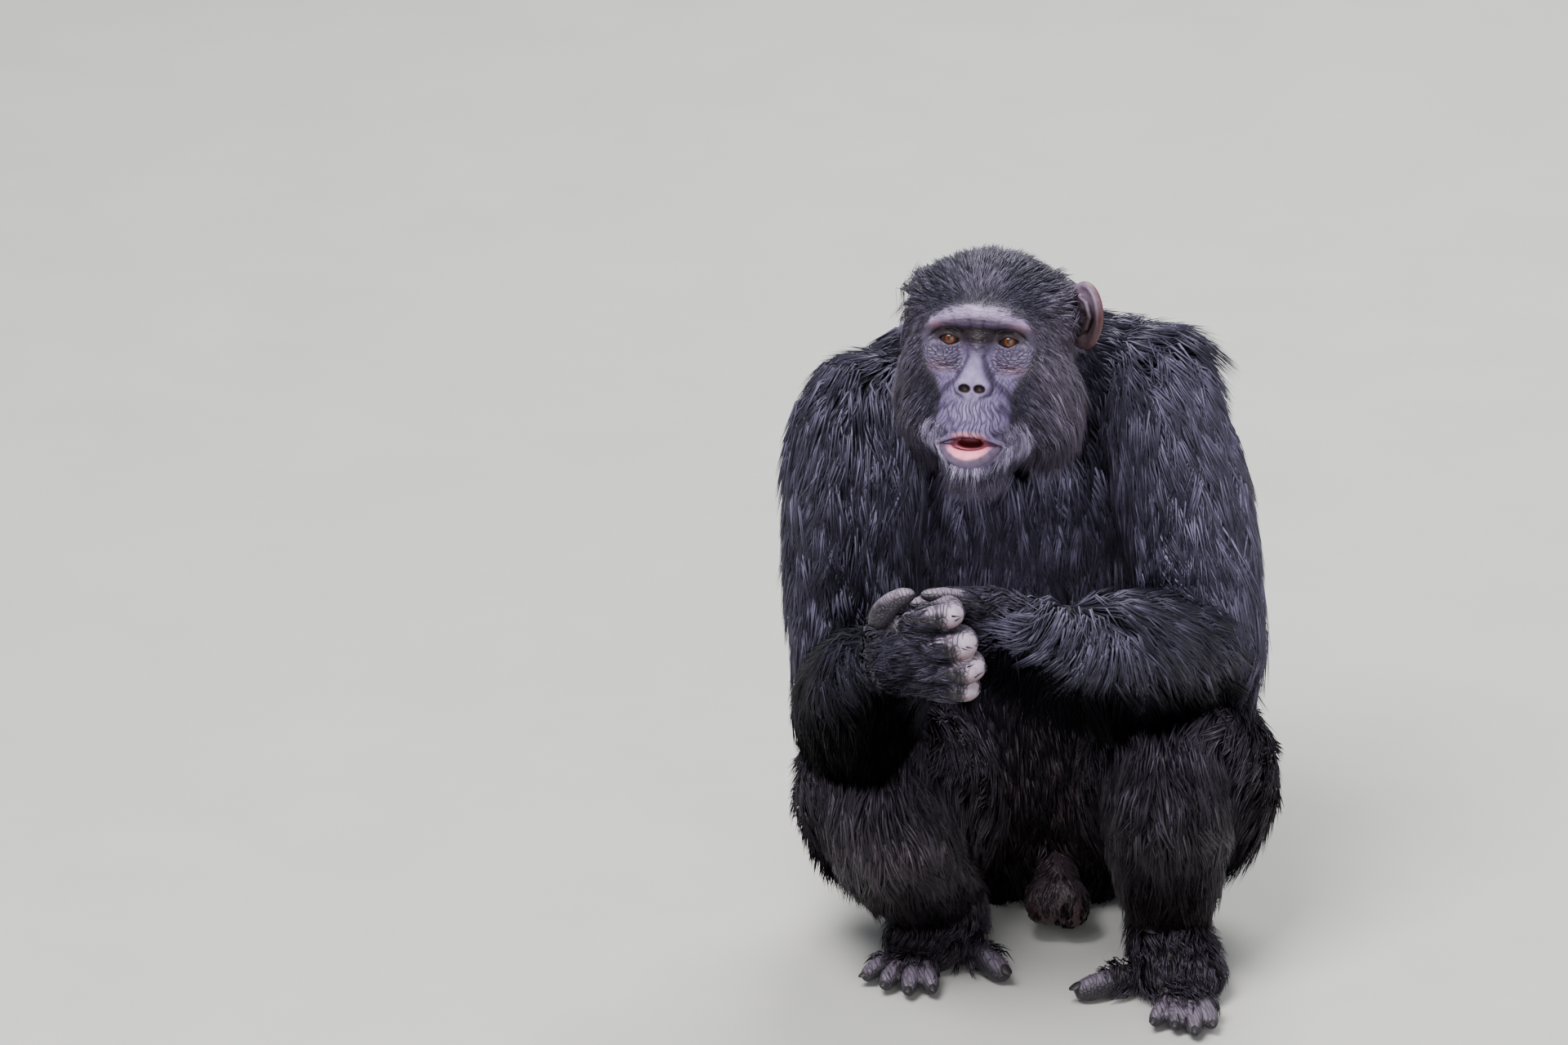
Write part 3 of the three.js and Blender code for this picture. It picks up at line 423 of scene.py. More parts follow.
def ear_distance(p, side):
    """Distance from an ear: a flat oval with a raised rim and an inner fold, hollowed from the front."""
    sign = 1 if side == "left" else -1
    turn = -EAR_TURN[side]
    q = p - np.array(EAR[side], np.float32)
    x = q[..., 0] * math.cos(turn) - q[..., 1] * math.sin(turn)
    y = q[..., 0] * math.sin(turn) + q[..., 1] * math.cos(turn)
    q = np.stack([x * sign, y, q[..., 2]], axis=-1)
    around = np.linspace(-0.85 * math.pi, 0.72 * math.pi, 15)
    rim_x, rim_z = (EAR_WIDTH - 3) * np.cos(around), (EAR_HEIGHT - 3) * np.sin(around)
    rim = np.stack([rim_x, -2 - 2 * np.cos(around * 0.5), rim_z], axis=1)
    fold = [(-6, -3, 18), (5, -4, 13), (10, -4, 0), (6, -4, -12), (-2, -3, -18)]
    d = oval(q, (0, 0, 0), (EAR_WIDTH, EAR_THICKNESS, EAR_HEIGHT))
    d = soft_join(d, oval(q, (-16, 3, -4), (13, 10, 19)), 6)
    d = soft_cut(d, oval(q, (1, -9, 2), (EAR_WIDTH - 4, 11.5, EAR_HEIGHT - 6)), 3)
    d = soft_join(d, bar(q, rim, 2.2), 2)
    d = soft_join(d, bar(q, fold, (1.2, 2.2, 2.6, 2.2, 1.2)), 3)
    return soft_cut(d, oval(q, (-4, -3, -3), (7, 9, 8)), 4)


# Folds of the face as lines seen from the front (x outwards, z up), with their width and depth
FOLDS = [
    ([(16, -8), (23, -11.5), (34, -11.5), (42, -6)], 1.1, 0.8),
    ([(15, -12), (22, -17), (31, -18)], 1.0, 0.6),
    ([(29, -15), (38, -14), (46, -9)], 1.0, 0.5),
    ([(15, -17), (23, -23), (34, -24.5), (46, -17)], 1.2, 0.8),
    ([(21, -27), (31, -31), (43, -28), (51, -20)], 1.3, 0.6),
    ([(24, -34), (33, -37), (44, -33)], 1.3, 0.4),
    ([(17, -58), (22, -65), (25, -75)], 1.1, 0.8),
    ([(20, -54), (27, -62), (31, -73)], 1.1, 0.8),
    ([(24, -51), (32, -59), (36, -70)], 1.1, 0.7),
    ([(28, -49), (37, -56), (41, -66)], 1.1, 0.5),
    ([(8, -13), (12, -24), (20, -36), (31, -47), (38, -60)], 2.4, 1.9),
    ([(17, 9), (26, 12.5), (36, 11.5), (44, 5)], 1.5, 1.3),
    ([(43, 4), (50, 1), (56, -4)], 1.4, 0.8),
    ([(43, 0), (50, -5), (55, -11)], 1.4, 0.8),
    ([(6, 11), (5.5, 17), (7, 23)], 1.3, 0.9),
    ([(19, 12), (21, 20), (26, 27)], 1.2, 0.5),
    ([(-6, 2), (0, 0.5), (6, 2)], 1.2, 0.9),
    ([(-7, -4), (0, -5.5), (7, -4)], 1.2, 0.7),
    ([(17, -30), (19.5, -38), (17, -46), (9, -50)], 1.8, 1.6),
    ([(0, -46), (0, -58), (0, -70)], 1.6, 0.8),
    ([(28, -58), (37, -70), (41, -84), (38, -98)], 2.4, 1.4),
    ([(34, -56), (43, -68), (47, -82), (45, -96)], 2.2, 0.8),
    ([(6, -122), (16, -119), (26, -112)], 2.2, 1.2),
    ([(11, -90.5), (20, -92.5), (30, -96)], 1.6, 2.2),
]


def fold_depth(p):
    """How far the folds press the face's skin in, seen from the front."""
    flat = np.stack([np.abs(p[..., 0]), np.zeros_like(p[..., 0]), p[..., 2]], axis=-1)
    front = np.clip((46 - p[..., 1]) / 20, 0, 1)
    depth = np.zeros(p.shape[:-1], np.float32)
    for line, width, deep in FOLDS:
        points = [(x, 0, z) for x, z in line]
        depth = np.maximum(depth, deep * np.exp(-(bar(flat, points, 0) / width) ** 2))
    return depth * front


def ripple_depth(p):
    """Fine upright creases over the upper lip, crepey arcs under the eyes and level lines on the brow."""
    x, z = p[..., 0], p[..., 2]
    wide = np.abs(x)
    front = np.clip((30 - p[..., 1]) / 20, 0, 1)
    lip = np.exp(-((z + 70) / 11) ** 2) * np.exp(-(x / 31) ** 4) * np.clip(-p[..., 1] / 20, 0, 1)
    fan = 0.75 * x / (1 + 0.012 * (-50 - z)) + 0.5 * np.sin(x * 0.37) + 0.25 * np.sin(z * 0.35 + x * 0.5)
    crease = 0.7 * (1 - np.abs(np.sin(fan))) ** 3 * (0.75 + 0.25 * np.sin(x * 1.7 + z * 0.13)) - 0.1
    pouch = np.exp(-((wide - 31) / 14) ** 4) * np.exp(-((z + 18) / 10) ** 4) * front
    ring = np.hypot(wide - 29, (z - 8) * 1.15)
    arcs = 0.26 * np.sin(ring * 2.3 + 1.6 * np.sin(wide * 0.45) + np.sin(z * 0.6))
    arcs = arcs + 0.24 * np.sin(wide * 1.5 + z * 1.4 + 1.2 * np.sin(z * 0.5))
    brow = np.exp(-((z - 24) / 8) ** 2) * np.exp(-(x / 46) ** 4) * front
    line = 0.22 * np.sin(z * 1.5 + 1.4 * np.sin(x * 0.16) + 0.8 * np.sin(x * 0.31 + 2))
    cheek = np.exp(-((wide - 20) / 14) ** 4) * np.exp(-((z + 40) / 22) ** 4) * front * 0.12
    return lip * crease + brow * line + pouch * arcs + cheek * np.sin(wide * 1.5 - z * 0.7)


def head_distance(p):
    """Signed distance of the head's skin from points of its frame, in millimetres."""
    m = p.copy()
    m[..., 0] = np.abs(m[..., 0])
    d = oval(m, *SKULL[0][:2])
    for centre, radii, k in SKULL[1:] + CHEEKS + MUZZLE:
        d = soft_join(d, oval(m, centre, radii), k)
    d = soft_join(d, bar(m, BROW_LINE, BROW_RADII), 18)
    d = soft_cut(d, oval(m, *SOCKET[:2]), SOCKET[2])
    for centre, radii, k in [BRIDGE, POUCH, LID] + NOSE:
        d = soft_join(d, oval(m, centre, radii), k)
    d = soft_join(d, bar(m, UPPER_LIP, UPPER_LIP_RADII), 7)
    d = soft_join(d, bar(m, LOWER_LIP, LOWER_LIP_RADII), 5.5)
    d = d + fold_depth(p) + ripple_depth(p)
    d = soft_cut(d, oval(m, *MOUTH_CAVITY), 2.5)
    d = soft_cut(d, oval(m, *NOSTRIL), 2)
    d = soft_cut(d, oval(m, *EYE_SLIT), 1.2)
    for rise in LID_RISES:
        d = soft_join(d, bar(m, lid_line(rise), LID_RADII), 1.5)
    d = np.maximum(d, EYE_RADIUS + 0.2 - np.linalg.norm(m - np.array(EYE_PLACE, np.float32), axis=-1))
    for side in ("left", "right"):
        d = soft_join(d, ear_distance(p, side), 5)
    return d


def field(low, high, cell, distance):
    """Distances on a grid, worked out only in the blocks that the surface can pass through."""
    block, margin = 4, 1.9
    counts = [int(math.ceil((b - a) / (cell * block))) for a, b in zip(low, high)]
    middles = [a + (np.arange(n) + 0.5) * cell * block for a, n in zip(low, counts)]
    coarse = distance(np.stack(np.meshgrid(*middles, indexing="ij"), axis=-1).astype(np.float32))
    near = np.abs(coarse) < cell * block * margin
    shape = [n * block for n in counts]
    values = np.repeat(np.repeat(np.repeat(coarse, block, 0), block, 1), block, 2)
    mask = np.repeat(np.repeat(np.repeat(near, block, 0), block, 1), block, 2)
    picked = np.argwhere(mask)
    values[mask] = distance((np.array(low) + (picked + 0.5) * cell).astype(np.float32))
    return values.reshape(shape)


def crossings(values, cells, corners):
    """For each cell of a grid the middle of the places where its edges pass through nothing."""
    total, hits = np.zeros((len(cells), 3)), np.zeros(len(cells))
    for corner in corners:
        for axis in range(3):
            if corner[axis]:
                continue
            other = corner.copy()
            other[axis] = 1
            a = values[tuple((cells + corner).T)]
            b = values[tuple((cells + other).T)]
            cut = (a < 0) != (b < 0)
            place = np.tile(corner, (len(cells), 1)).astype(float)
            place[:, axis] = a / np.where(cut, a - b, 1)
            total[cut] += place[cut]
            hits[cut] += 1
    return total / hits[:, None]


def surface_net(values, low, cell):
    """The quads where a grid of distances passes through nothing, one point in each cell it crosses."""
    inside = values < 0
    size = np.array(values.shape) - 1
    corners = [np.array(c) for c in np.ndindex(2, 2, 2)]
    count = np.zeros(size, np.int8)
    for x, y, z in corners:
        count += inside[x:x + size[0], y:y + size[1], z:z + size[2]]
    crossed = (count > 0) & (count < 8)
    cells = np.argwhere(crossed)
    number = np.full(crossed.shape, -1, np.int64)
    number[crossed] = np.arange(len(cells))
    points = np.array(low) + (cells + 0.5 + crossings(values, cells, corners)) * cell
    quads = []
    for axis in range(3):
        u, v = (axis + 1) % 3, (axis + 2) % 3
        step = np.eye(3, dtype=int)
        start = [slice(1, None)] * 3
        start[axis] = slice(None, -1)
        after = list(start)
        after[axis] = slice(1, None)
        edge = np.argwhere(inside[tuple(start)] != inside[tuple(after)]) + 1 - step[axis]
        edge = edge[(edge < size).all(axis=1)]
        round_the_edge = ((0, 0), (1, 0), (1, 1), (0, 1))
        ring = [number[tuple((edge - du * step[u] - dv * step[v]).T)] for du, dv in round_the_edge]
        ring = np.stack(ring, axis=1)
        outward = inside[tuple(edge.T)]
        quads.append(np.where(outward[:, None], ring, ring[:, ::-1]))
    return points, np.concatenate(quads)


def mesh_from(name, points, faces):
    """A mesh object from points in metres and faces that all have the same number of corners."""
    mesh = bpy.data.meshes.new(name)
    sides = faces.shape[1]
    mesh.vertices.add(len(points))
    mesh.vertices.foreach_set("co", np.ascontiguousarray(points, float).ravel())
    mesh.loops.add(faces.size)
    mesh.loops.foreach_set("vertex_index", np.ascontiguousarray(faces).ravel())
    mesh.polygons.add(len(faces))
    mesh.polygons.foreach_set("loop_start", np.arange(len(faces)) * sides)
    mesh.update(calc_edges=True)
    thing = bpy.data.objects.new(name, mesh)
    bpy.context.scene.collection.objects.link(thing)
    return thing


def settled(points, distance):
    """Points drawn onto the true surface along the slope of its distance."""
    p = points.astype(np.float32)
    near = 0.4
    for _ in range(2):
        d = distance(p)
        rises = [distance(p + np.array(step, np.float32)) - d for step in np.eye(3) * near]
        slope = np.stack(rises, axis=1) / near
        p = p - np.clip(d, -1, 1)[:, None] * slope / np.maximum(np.sum(slope * slope, axis=1), 0.3)[:, None]
    return p


# Heights on the bare face, each with half its width there; the hair starts beyond it
FACE_EDGE = np.array([
    (-122, 0), (-117, 18), (-106, 30), (-90, 33), (-75, 35), (-60, 33), (-45, 34), (-35, 40), (-25, 47),
    (-12, 51), (0, 54), (10, 53), (18, 48), (25, 41), (31, 30), (34, 18), (35, 0),
], float)


def beyond_face(h):
    """How far, in millimetres, points of the head lie outside the bare face; inside is negative."""
    edge = np.stack([FACE_EDGE[:, 1], np.zeros(len(FACE_EDGE)), FACE_EDGE[:, 0]], axis=1)
    flat = np.stack([np.abs(h[:, 0]), np.zeros(len(h)), h[:, 2]], axis=1)
    gap = bar(flat, edge, 0)
    low, high = FACE_EDGE[0, 0], FACE_EDGE[-1, 0]
    inside = flat[:, 0] < np.interp(h[:, 2], FACE_EDGE[:, 0], FACE_EDGE[:, 1])
    inside &= (h[:, 2] > low) & (h[:, 2] < high)
    gap = np.where(inside, -gap, gap)
    return np.where(h[:, 1] > 52, np.maximum(gap, 16), gap)


def ears_away(h):
    return np.minimum(ear_distance(h, "left"), ear_distance(h, "right"))


def under_hair(p):
    """The skin under the hair lies a little deeper than the face, so that the face laps over it."""
    return head_distance(p) + 0.5


# The head's skin is made in pieces, finer on the face: the box, the cell, the distance and what is kept
HEAD_PIECES = [
    ((-72, -66, -140), (72, 56, 54), 1.1, head_distance, lambda h: beyond_face(h) < 14),
    ((58, 34, -36), (124, 112, 62), 1.4, head_distance, lambda h: ear_distance(h, "left") < 4),
    ((-112, 36, -44), (-46, 118, 58), 1.8, head_distance, lambda h: ear_distance(h, "right") < 4),
    ((-106, -66, -140), (120, 162, 78), 2.8, under_hair, lambda h: (beyond_face(h) > 8) & (ears_away(h) > 1)),
]
head_points, head_quads, head_count = [], [], 0
for low, high, cell, distance, wanted in HEAD_PIECES:
    points, quads = surface_net(field(low, high, cell, distance), low, cell)
    points = settled(points, distance)
    quads = quads[wanted(points)[quads].any(axis=1)]
    used, quads = np.unique(quads, return_inverse=True)
    head_points.append(points[used])
    head_quads.append(quads.reshape(-1, 4) + head_count)
    head_count += len(used)
head = mesh_from("head_skin", set_in(from_head(np.concatenate(head_points))), np.concatenate(head_quads))


# The hands.
# The right hand is a loose fist with its thumb up, on the knuckles of which the animal also walks,
# so their pads are thick and bare. The left hand lies behind it with its digits against the fist.
JOINTED = (0.9, 1.0, 1.1, 0.95, 1.08, 0.96, 0.98, 0.8)


def digit_form(name, line, radius, shape=JOINTED, end=2.4):
    digit = Limb(line=line, wide=tuple(radius * share for share in shape), side=(0, 0, 1), blunt=(2.6, end))
    return limb_form(name, digit, segments=18, rings=26)


def palm_form(name, limb):
    limbs[name] = limb
    return limb_form(name, limb, segments=28, rings=20)


RIGHT_DIGITS, LEFT_DIGITS = [], []
KNUCKLES = [(-96, -378, 482), (-84, -380, 452), (-76, -378, 427), (-78, -372, 403)]
KNUCKLE_RADII = [12, 13, 12.4, 10]
FINGER_SHAPE = (0.9, 0.98, 1.06, 1.06, 1, 0.98, 0.96, 0.9)
THUMB_SHAPE = (1.05, 1.05, 1, 1.08, 1, 0.92, 0.98, 0.86)
THUMB_RADIUS = {"right": 11, "left": 7.5}
right_forms = [palm_form("palm_right", Limb(
    line=[at(WRIST["right"], ELBOW["right"], 0.06), (-138, -364, 438), (-104, -380, 443)],
    wide=(28, 38, 40), deep=(24, 21, 19), coat=(8, 4, 0), side=(0, 0, 1),
))]
for i, ((x, y, z), radius) in enumerate(zip(KNUCKLES, KNUCKLE_RADII)):
    curl = [(x - 46, y + 2, z - 3), (x - 18, y - 6, z + 1), (x, y, z),
            (x + 1, y + 22, z - 1), (x - 16, y + 36, z - 2), (x - 38, y + 30, z - 1)]
    right_forms.append(digit_form(f"finger_right_{i}", curl, radius, FINGER_SHAPE))
    RIGHT_DIGITS.append((curl, radius))
RIGHT_THUMB = [(-158, -344, 440), (-162, -362, 472), (-148, -370, 494), (-128, -372, 503)]
right_forms.append(digit_form("thumb_right", RIGHT_THUMB, THUMB_RADIUS["right"], THUMB_SHAPE))
RIGHT_DIGITS.append((RIGHT_THUMB, THUMB_RADIUS["right"]))
hand_right = fused("hand_right_skin", right_forms, voxel=2, smoothing=3)

LEFT_TIPS = [(-132, -326, 470), (-134, -320, 450), (-128, -312, 432), (-116, -306, 416)]
left_forms = [palm_form("palm_left", Limb(
    line=[at(WRIST["left"], ELBOW["left"], 0.08), (-62, -304, 442), (-98, -314, 448)],
    wide=(27, 35, 36), deep=(22, 18, 16), coat=(8, 4, 0), side=(0, 0, 1),
))]
for i, (x, y, z) in enumerate(LEFT_TIPS):
    reach_out = [(-78, -308, 472 - i * 17), (-98, -318, 474 - i * 17), (x + 12, y, z), (x, y + 6, z)]
    radius = 10.5 - i * 0.7
    left_forms.append(digit_form(f"finger_left_{i}", reach_out, radius))
    LEFT_DIGITS.append((reach_out[1:], radius))
LEFT_THUMB = [(-60, -318, 462), (-86, -340, 486), (-108, -346, 490), (-124, -346, 490)]
left_forms.append(digit_form("thumb_left", LEFT_THUMB, THUMB_RADIUS["left"]))
LEFT_DIGITS.append((LEFT_THUMB, THUMB_RADIUS["left"]))
hand_left = fused("hand_left_skin", left_forms, voxel=2, smoothing=3)


# The feet.
# Each has a long flat sole, four short toes and a big toe set off to the side like a thumb.
# The bare soles are pressed flat where they rest on the floor.
TOE_TIPS = {
    "left": [(104, -278), (125, -286), (144, -300), (162, -284)],
    "right": [(-108, -200), (-132, -204), (-156, -190), (-176, -168)],
}
BIG_TOE_TIP = {"left": (30, -208), "right": (-36, -168)}
TOE_SHAPE = (1, 1, 0.94, 1.05, 0.96, 1.0, 0.98, 0.84)


def blend(a, b, k):
    return a + (b - a) * k


def toe_line(side, x, y):
    ball = BALL[side]
    root = (blend(ball[0], x, 0.35), blend(ball[1], y, 0.15) + 12, 19)
    bend = (blend(root[0], x, 0.55), blend(root[1], y, 0.5), 19)
    return [root, bend, (x, y + 8, 10)]


def big_toe_line(side):
    root = at(HEEL[side], BALL[side], 0.55, (8 if side == "right" else -8, 0, 0))
    x, y = BIG_TOE_TIP[side]
    return [root, (blend(root[0], x, 0.55), blend(root[1], y, 0.4), 18), (x, y + 8, 13)]


def foot_form(side):
    heel, ball, ankle = HEEL[side], BALL[side], ANKLE[side]
    sole = Limb(line=[heel, at(heel, ball, 0.5, (0, 0, 4)), ball], wide=(26, 31, 35, 40, 41),
                deep=(27, 28, 27, 24, 20), blunt=(2.6, 2.6))
    instep = Limb(line=[(ankle[0], ankle[1] + 4, ankle[2] + 14), (ankle[0], ankle[1] - 10, 46),
                        at(ankle, ball, 0.75, (0, 0, -14))], wide=(30, 33, 32), coat=(18, 18, 8))
    limbs[f"instep_{side}"] = instep
    forms = [limb_form("sole", sole, 28, 24), limb_form("instep", instep, 28, 20)]
    for i, (x, y) in enumerate(TOE_TIPS[side]):
        forms.append(digit_form(f"toe_{i}", toe_line(side, x, y), 9.6 - abs(i - 1.5) * 0.4, TOE_SHAPE, 3.2))
    forms.append(digit_form("big_toe", big_toe_line(side), 13, TOE_SHAPE, 4))
    return fused(f"foot_{side}_skin", forms, voxel=2.3, smoothing=3)


def press_flat(thing):
    """What would reach through the floor is pressed flat on it."""
    places = places_of(thing)
    places[:, 2] = np.maximum(places[:, 2], 0)
    move_points(thing, places)


foot_left, foot_right = foot_form("left"), foot_form("right")
for thing in (foot_left, foot_right, body):
    press_flat(thing)


# The lie of the coat.
# Every part of the hide has its own direction, length, thickness and colour of hair. They are worked
# out at the points of each skin, and the directions are smoothed so that no parting shows.
def smooth_step(low, high, value):
    k = np.clip((value - low) / (high - low), 0, 1)
    return k * k * (3 - 2 * k)


def own_points(thing):
    return places_of(thing) / MM - FRAME_SHIFT


def normals_of(thing):
    normals = np.empty(len(thing.data.vertices) * 3)
    thing.data.vertex_normals.foreach_get("vector", normals)
    return normals.reshape(-1, 3)


def triangles_of(thing):
    thing.data.calc_loop_triangles()
    corners = np.empty(len(thing.data.loop_triangles) * 3, np.int64)
    thing.data.loop_triangles.foreach_get("vertices", corners)
    return corners.reshape(-1, 3)


def edge_ends(thing):
    """The numbers of the two points that each edge joins."""
    ends = np.empty(len(thing.data.edges) * 2, np.int64)
    thing.data.edges.foreach_get("vertices", ends)
    return ends.reshape(-1, 2).T


def combed(thing, flow, normals, rounds=12):
    """Directions evened out between neighbouring points, and laid flat along the skin."""
    a, b = edge_ends(thing)
    for _ in range(rounds):
        total = flow.copy()
        for i in range(3):
            total[:, i] += np.bincount(a, flow[b, i], len(flow)) + np.bincount(b, flow[a, i], len(flow))
        flow = unit(total - normals * np.sum(total * normals, axis=1, keepdims=True))
    return flow


def between(low, high, share):
    return np.asarray(low) * (1 - share[:, None]) + np.asarray(high) * share[:, None]


# The hair's own near-black colour, tinted blue-violet as painted sheen
HAIR_BLACK_AND_PAINTED_SHEEN = np.array([0.041, 0.036, 0.058])
BROWN = np.array([0.031, 0.021, 0.023])
TAN = np.array([0.235, 0.185, 0.27])
WHITE = np.array([0.47, 0.405, 0.60])
LENGTHS = {
    "trunk": 82, "yoke": 84, "neck": 74, "upper_arm": 88, "forearm": 76, "thigh": 84, "shin": 64,
    "palm": 32, "instep": 30,
}


def limb_lie(kind, share, along):
    """The direction of the hair on one kind of limb, at shares of its length."""
    down = np.array([0, 0, -1.0])
    if kind in ("trunk", "neck"):
        return -along
    if kind == "yoke":
        return along * (share - 0.5)[:, None] * 2.4 + down * 0.7
    if kind == "forearm":
        turn = 1 - 2 * smooth_step(0.45, 0.95, share)
        across_view = np.abs(along[:, :1])
        over = np.exp(-((share - 0.7) / 0.2) ** 2)[:, None] * np.array([0, -0.22, 0])
        return -along * turn[:, None] * (0.3 + 0.7 * across_view) + down * (1.2 - 0.8 * across_view) + over
    if kind == "thigh":
        from_hip = smooth_step(0.05, 0.4, share)[:, None]
        return along * from_hip + down * (1.25 - 0.8 * from_hip)
    return along + down * 0.05


def limb_fields(thing, names):
    """Flow, length, height, owning limb and unwrap at the points of a skin of limbs."""
    points, normals = own_points(thing), normals_of(thing)
    flow, weight_sum = np.zeros_like(points), np.full(len(points), 1e-9)
    long, tall = np.zeros(len(points)), np.zeros(len(points))
    best, owner = np.zeros(len(points)), np.zeros(len(points), int)
    place = np.zeros((len(points), 2))
    for i, name in enumerate(names):
        limb = limbs[name]
        share, angle, out = limb.locate(points)
        end = np.maximum(limb.round_at(share), 0.5)
        weight = np.exp(-((out / end - 1) / 0.14) ** 2) + 1e-5 * np.exp(-np.abs(out - 1))
        kind = name.replace("_left", "").replace("_right", "")
        flow += limb_lie(kind, share, limb.frame(share)[1]) * weight[:, None]
        long += LENGTHS[kind] * weight
        tall += reach(limb.coat, share) * weight
        weight_sum += weight
        mine = weight > best
        best[mine], owner[mine] = weight[mine], i
        place[mine, 0], place[mine, 1] = angle[mine] / (2 * math.pi) + 0.5, share[mine]
    flow = combed(thing, unit(flow), normals)
    return {
        "points": points, "normals": normals, "flow": flow, "place": place,
        "long": long / weight_sum, "tall": tall / weight_sum,
        "hang": np.zeros(len(points)), "droop": np.zeros(len(points)),
        "owner": np.array(names)[owner],
    }


def near_oval(points, centre, radii):
    """How far points lie from a centre, 1 on the ellipsoid of these radii."""
    return np.linalg.norm((points - np.array(centre)) / np.array(radii), axis=1)


def lighten(thing, ratio):
    """Fewer points on a skin, kept where it bends most."""
    only(thing)
    fewer = thing.modifiers.new("fewer", "DECIMATE")
    fewer.ratio = ratio
    bpy.ops.object.modifier_apply(modifier=fewer.name)


lighten(body, 0.34)
lighten(head, 0.5)
for paw in (hand_right, hand_left, foot_left, foot_right):
    lighten(paw, 0.6)
BODY_LIMBS = [name for name in limbs if not name.startswith(("palm", "instep"))]
body_fields = limb_fields(body, BODY_LIMBS)

SCROTUM = ((15, -36, 44), (46, 44, 42))
BELLY_PATCH = ((0, -40, 180), (110, 90, 150))
# Places where the coat stands higher or lies closer: centre, spread, and by how much
THICKER = [
    ((96, 40, 625), 50, 48),
    ((218, -60, 320), 75, 16),
    ((-245, -150, 280), 65, 18),
    ((172, 48, 592), 72, -34),
]
# Painted light and shade: how much lighter or darker the hair of a limb is painted than that of the others
LIMB_PAINTED_LIGHT_AND_SHADE = {
    "forearm_right": 0.3, "thigh_left": 0.6, "thigh_right": 0.65, "shin_left": 0.5,
    "shin_right": 0.65, "upper_arm_left": 1.8, "upper_arm_right": 1.3,
}


def owned_by(f, *kinds):
    """Which points lie on limbs of these kinds."""
    return np.any([np.char.startswith(f["owner"], kind) for kind in kinds], axis=0)


def body_growth(f):
    """How high, long and dense the hair of the body is, and how far it hangs."""
    p = f["points"]
    under = smooth_step(0.3, -0.6, f["normals"][:, 2]) * smooth_step(40, 90, p[:, 2])
    arm = owned_by(f, "forearm", "upper_arm")
    f["hang"] = under * np.where(arm, 0.7, 0.35)
    f["droop"] = under * np.where(arm, 0.34, 0.12)
    for centre, spread, more in THICKER:
        f["tall"] = f["tall"] + more * np.exp(-np.sum((p - np.array(centre)) ** 2, axis=1) / spread ** 2)
    f["tall"] = np.maximum(f["tall"], 3)
    bare = 1 - smooth_step(1.05, 1.4, near_oval(p, *SCROTUM))
    belly = 1 - smooth_step(0.5, 1.1, near_oval(p, *BELLY_PATCH))
    belly = belly * (f["owner"] == "trunk")
    rest = 1 - smooth_step(4, 16, p[:, 2])
    thin = 0.6 * smooth_step(12, 44, p[:, 2])
    f["dense"] = (1 - bare * (1 - thin)) * (1 - 0.45 * belly) * (1 - rest)
    f["wide"] = np.full(len(p), 3.1)
    f["long"] = f["long"] * (1 - 0.35 * belly) * (1 - bare) + 20 * bare
    f["tall"] = f["tall"] * (1 - 0.25 * belly) * (1 - bare) + 2 * bare
    f.update(bare=bare, belly=belly, rest=rest)


def body_colours(f):
    """The colours of the hair and the skin of the body, with painted light and shade on the hair."""
    p, belly = f["points"], f["belly"]
    low = 1 - smooth_step(120, 420, p[:, 2])
    leg, forearm, shin = owned_by(f, "thigh", "shin"), owned_by(f, "forearm"), owned_by(f, "shin")
    # Painted shade on hair that faces down, more on the forearms; painted light on the chest below the head
    # and on the lower shins
    facing = f["normals"][:, 2] + 0.15 - 0.45 * forearm
    chest = (f["owner"] == "trunk") * smooth_step(320, 440, p[:, 2]) * (f["normals"][:, 1] < 0)
    hair_painted_light_and_shade = (1 - (0.8 + 0.12 * forearm) * smooth_step(0.15, -0.45, facing)) * (1 + 1.6 * chest)
    for name, share in LIMB_PAINTED_LIGHT_AND_SHADE.items():
        hair_painted_light_and_shade = hair_painted_light_and_shade * np.where(f["owner"] == name, share, 1)
    hair_painted_light_and_shade = (hair_painted_light_and_shade * (1 + 1.3 * shin * smooth_step(300, 140, p[:, 2])))[:, None]
    f["hair"] = between(HAIR_BLACK_AND_PAINTED_SHEEN, BROWN * 0.8, np.maximum(low, belly * 0.7)) * hair_painted_light_and_shade
    # Painted shade on the tips of forearm hair that hangs down
    hanging_tip_painted_shade = (1 - 0.7 * forearm * smooth_step(0.9, 0.3, f["normals"][:, 2]))[:, None]
    f["tip"] = between(HAIR_BLACK_AND_PAINTED_SHEEN * 1.5, BROWN * 1.5, np.maximum(low * 0.8, leg * 0.6)) * hair_painted_light_and_shade * hanging_tip_painted_shade
    # Near black under the coat: partly the skin's own dark colour, partly painted shade in the gaps of the
    # coat
    skin = between((0.020, 0.018, 0.022), (0.085, 0.070, 0.075), belly * 0.8)
    scrotum = between((0.026, 0.015, 0.022), (0.050, 0.021, 0.027), smooth_step(60, 30, p[:, 2]))
    skin = between(skin, scrotum, f["bare"])
    f["skin"] = between(skin, (0.13, 0.10, 0.11), f["rest"])


body_growth(body_fields)
body_colours(body_fields)


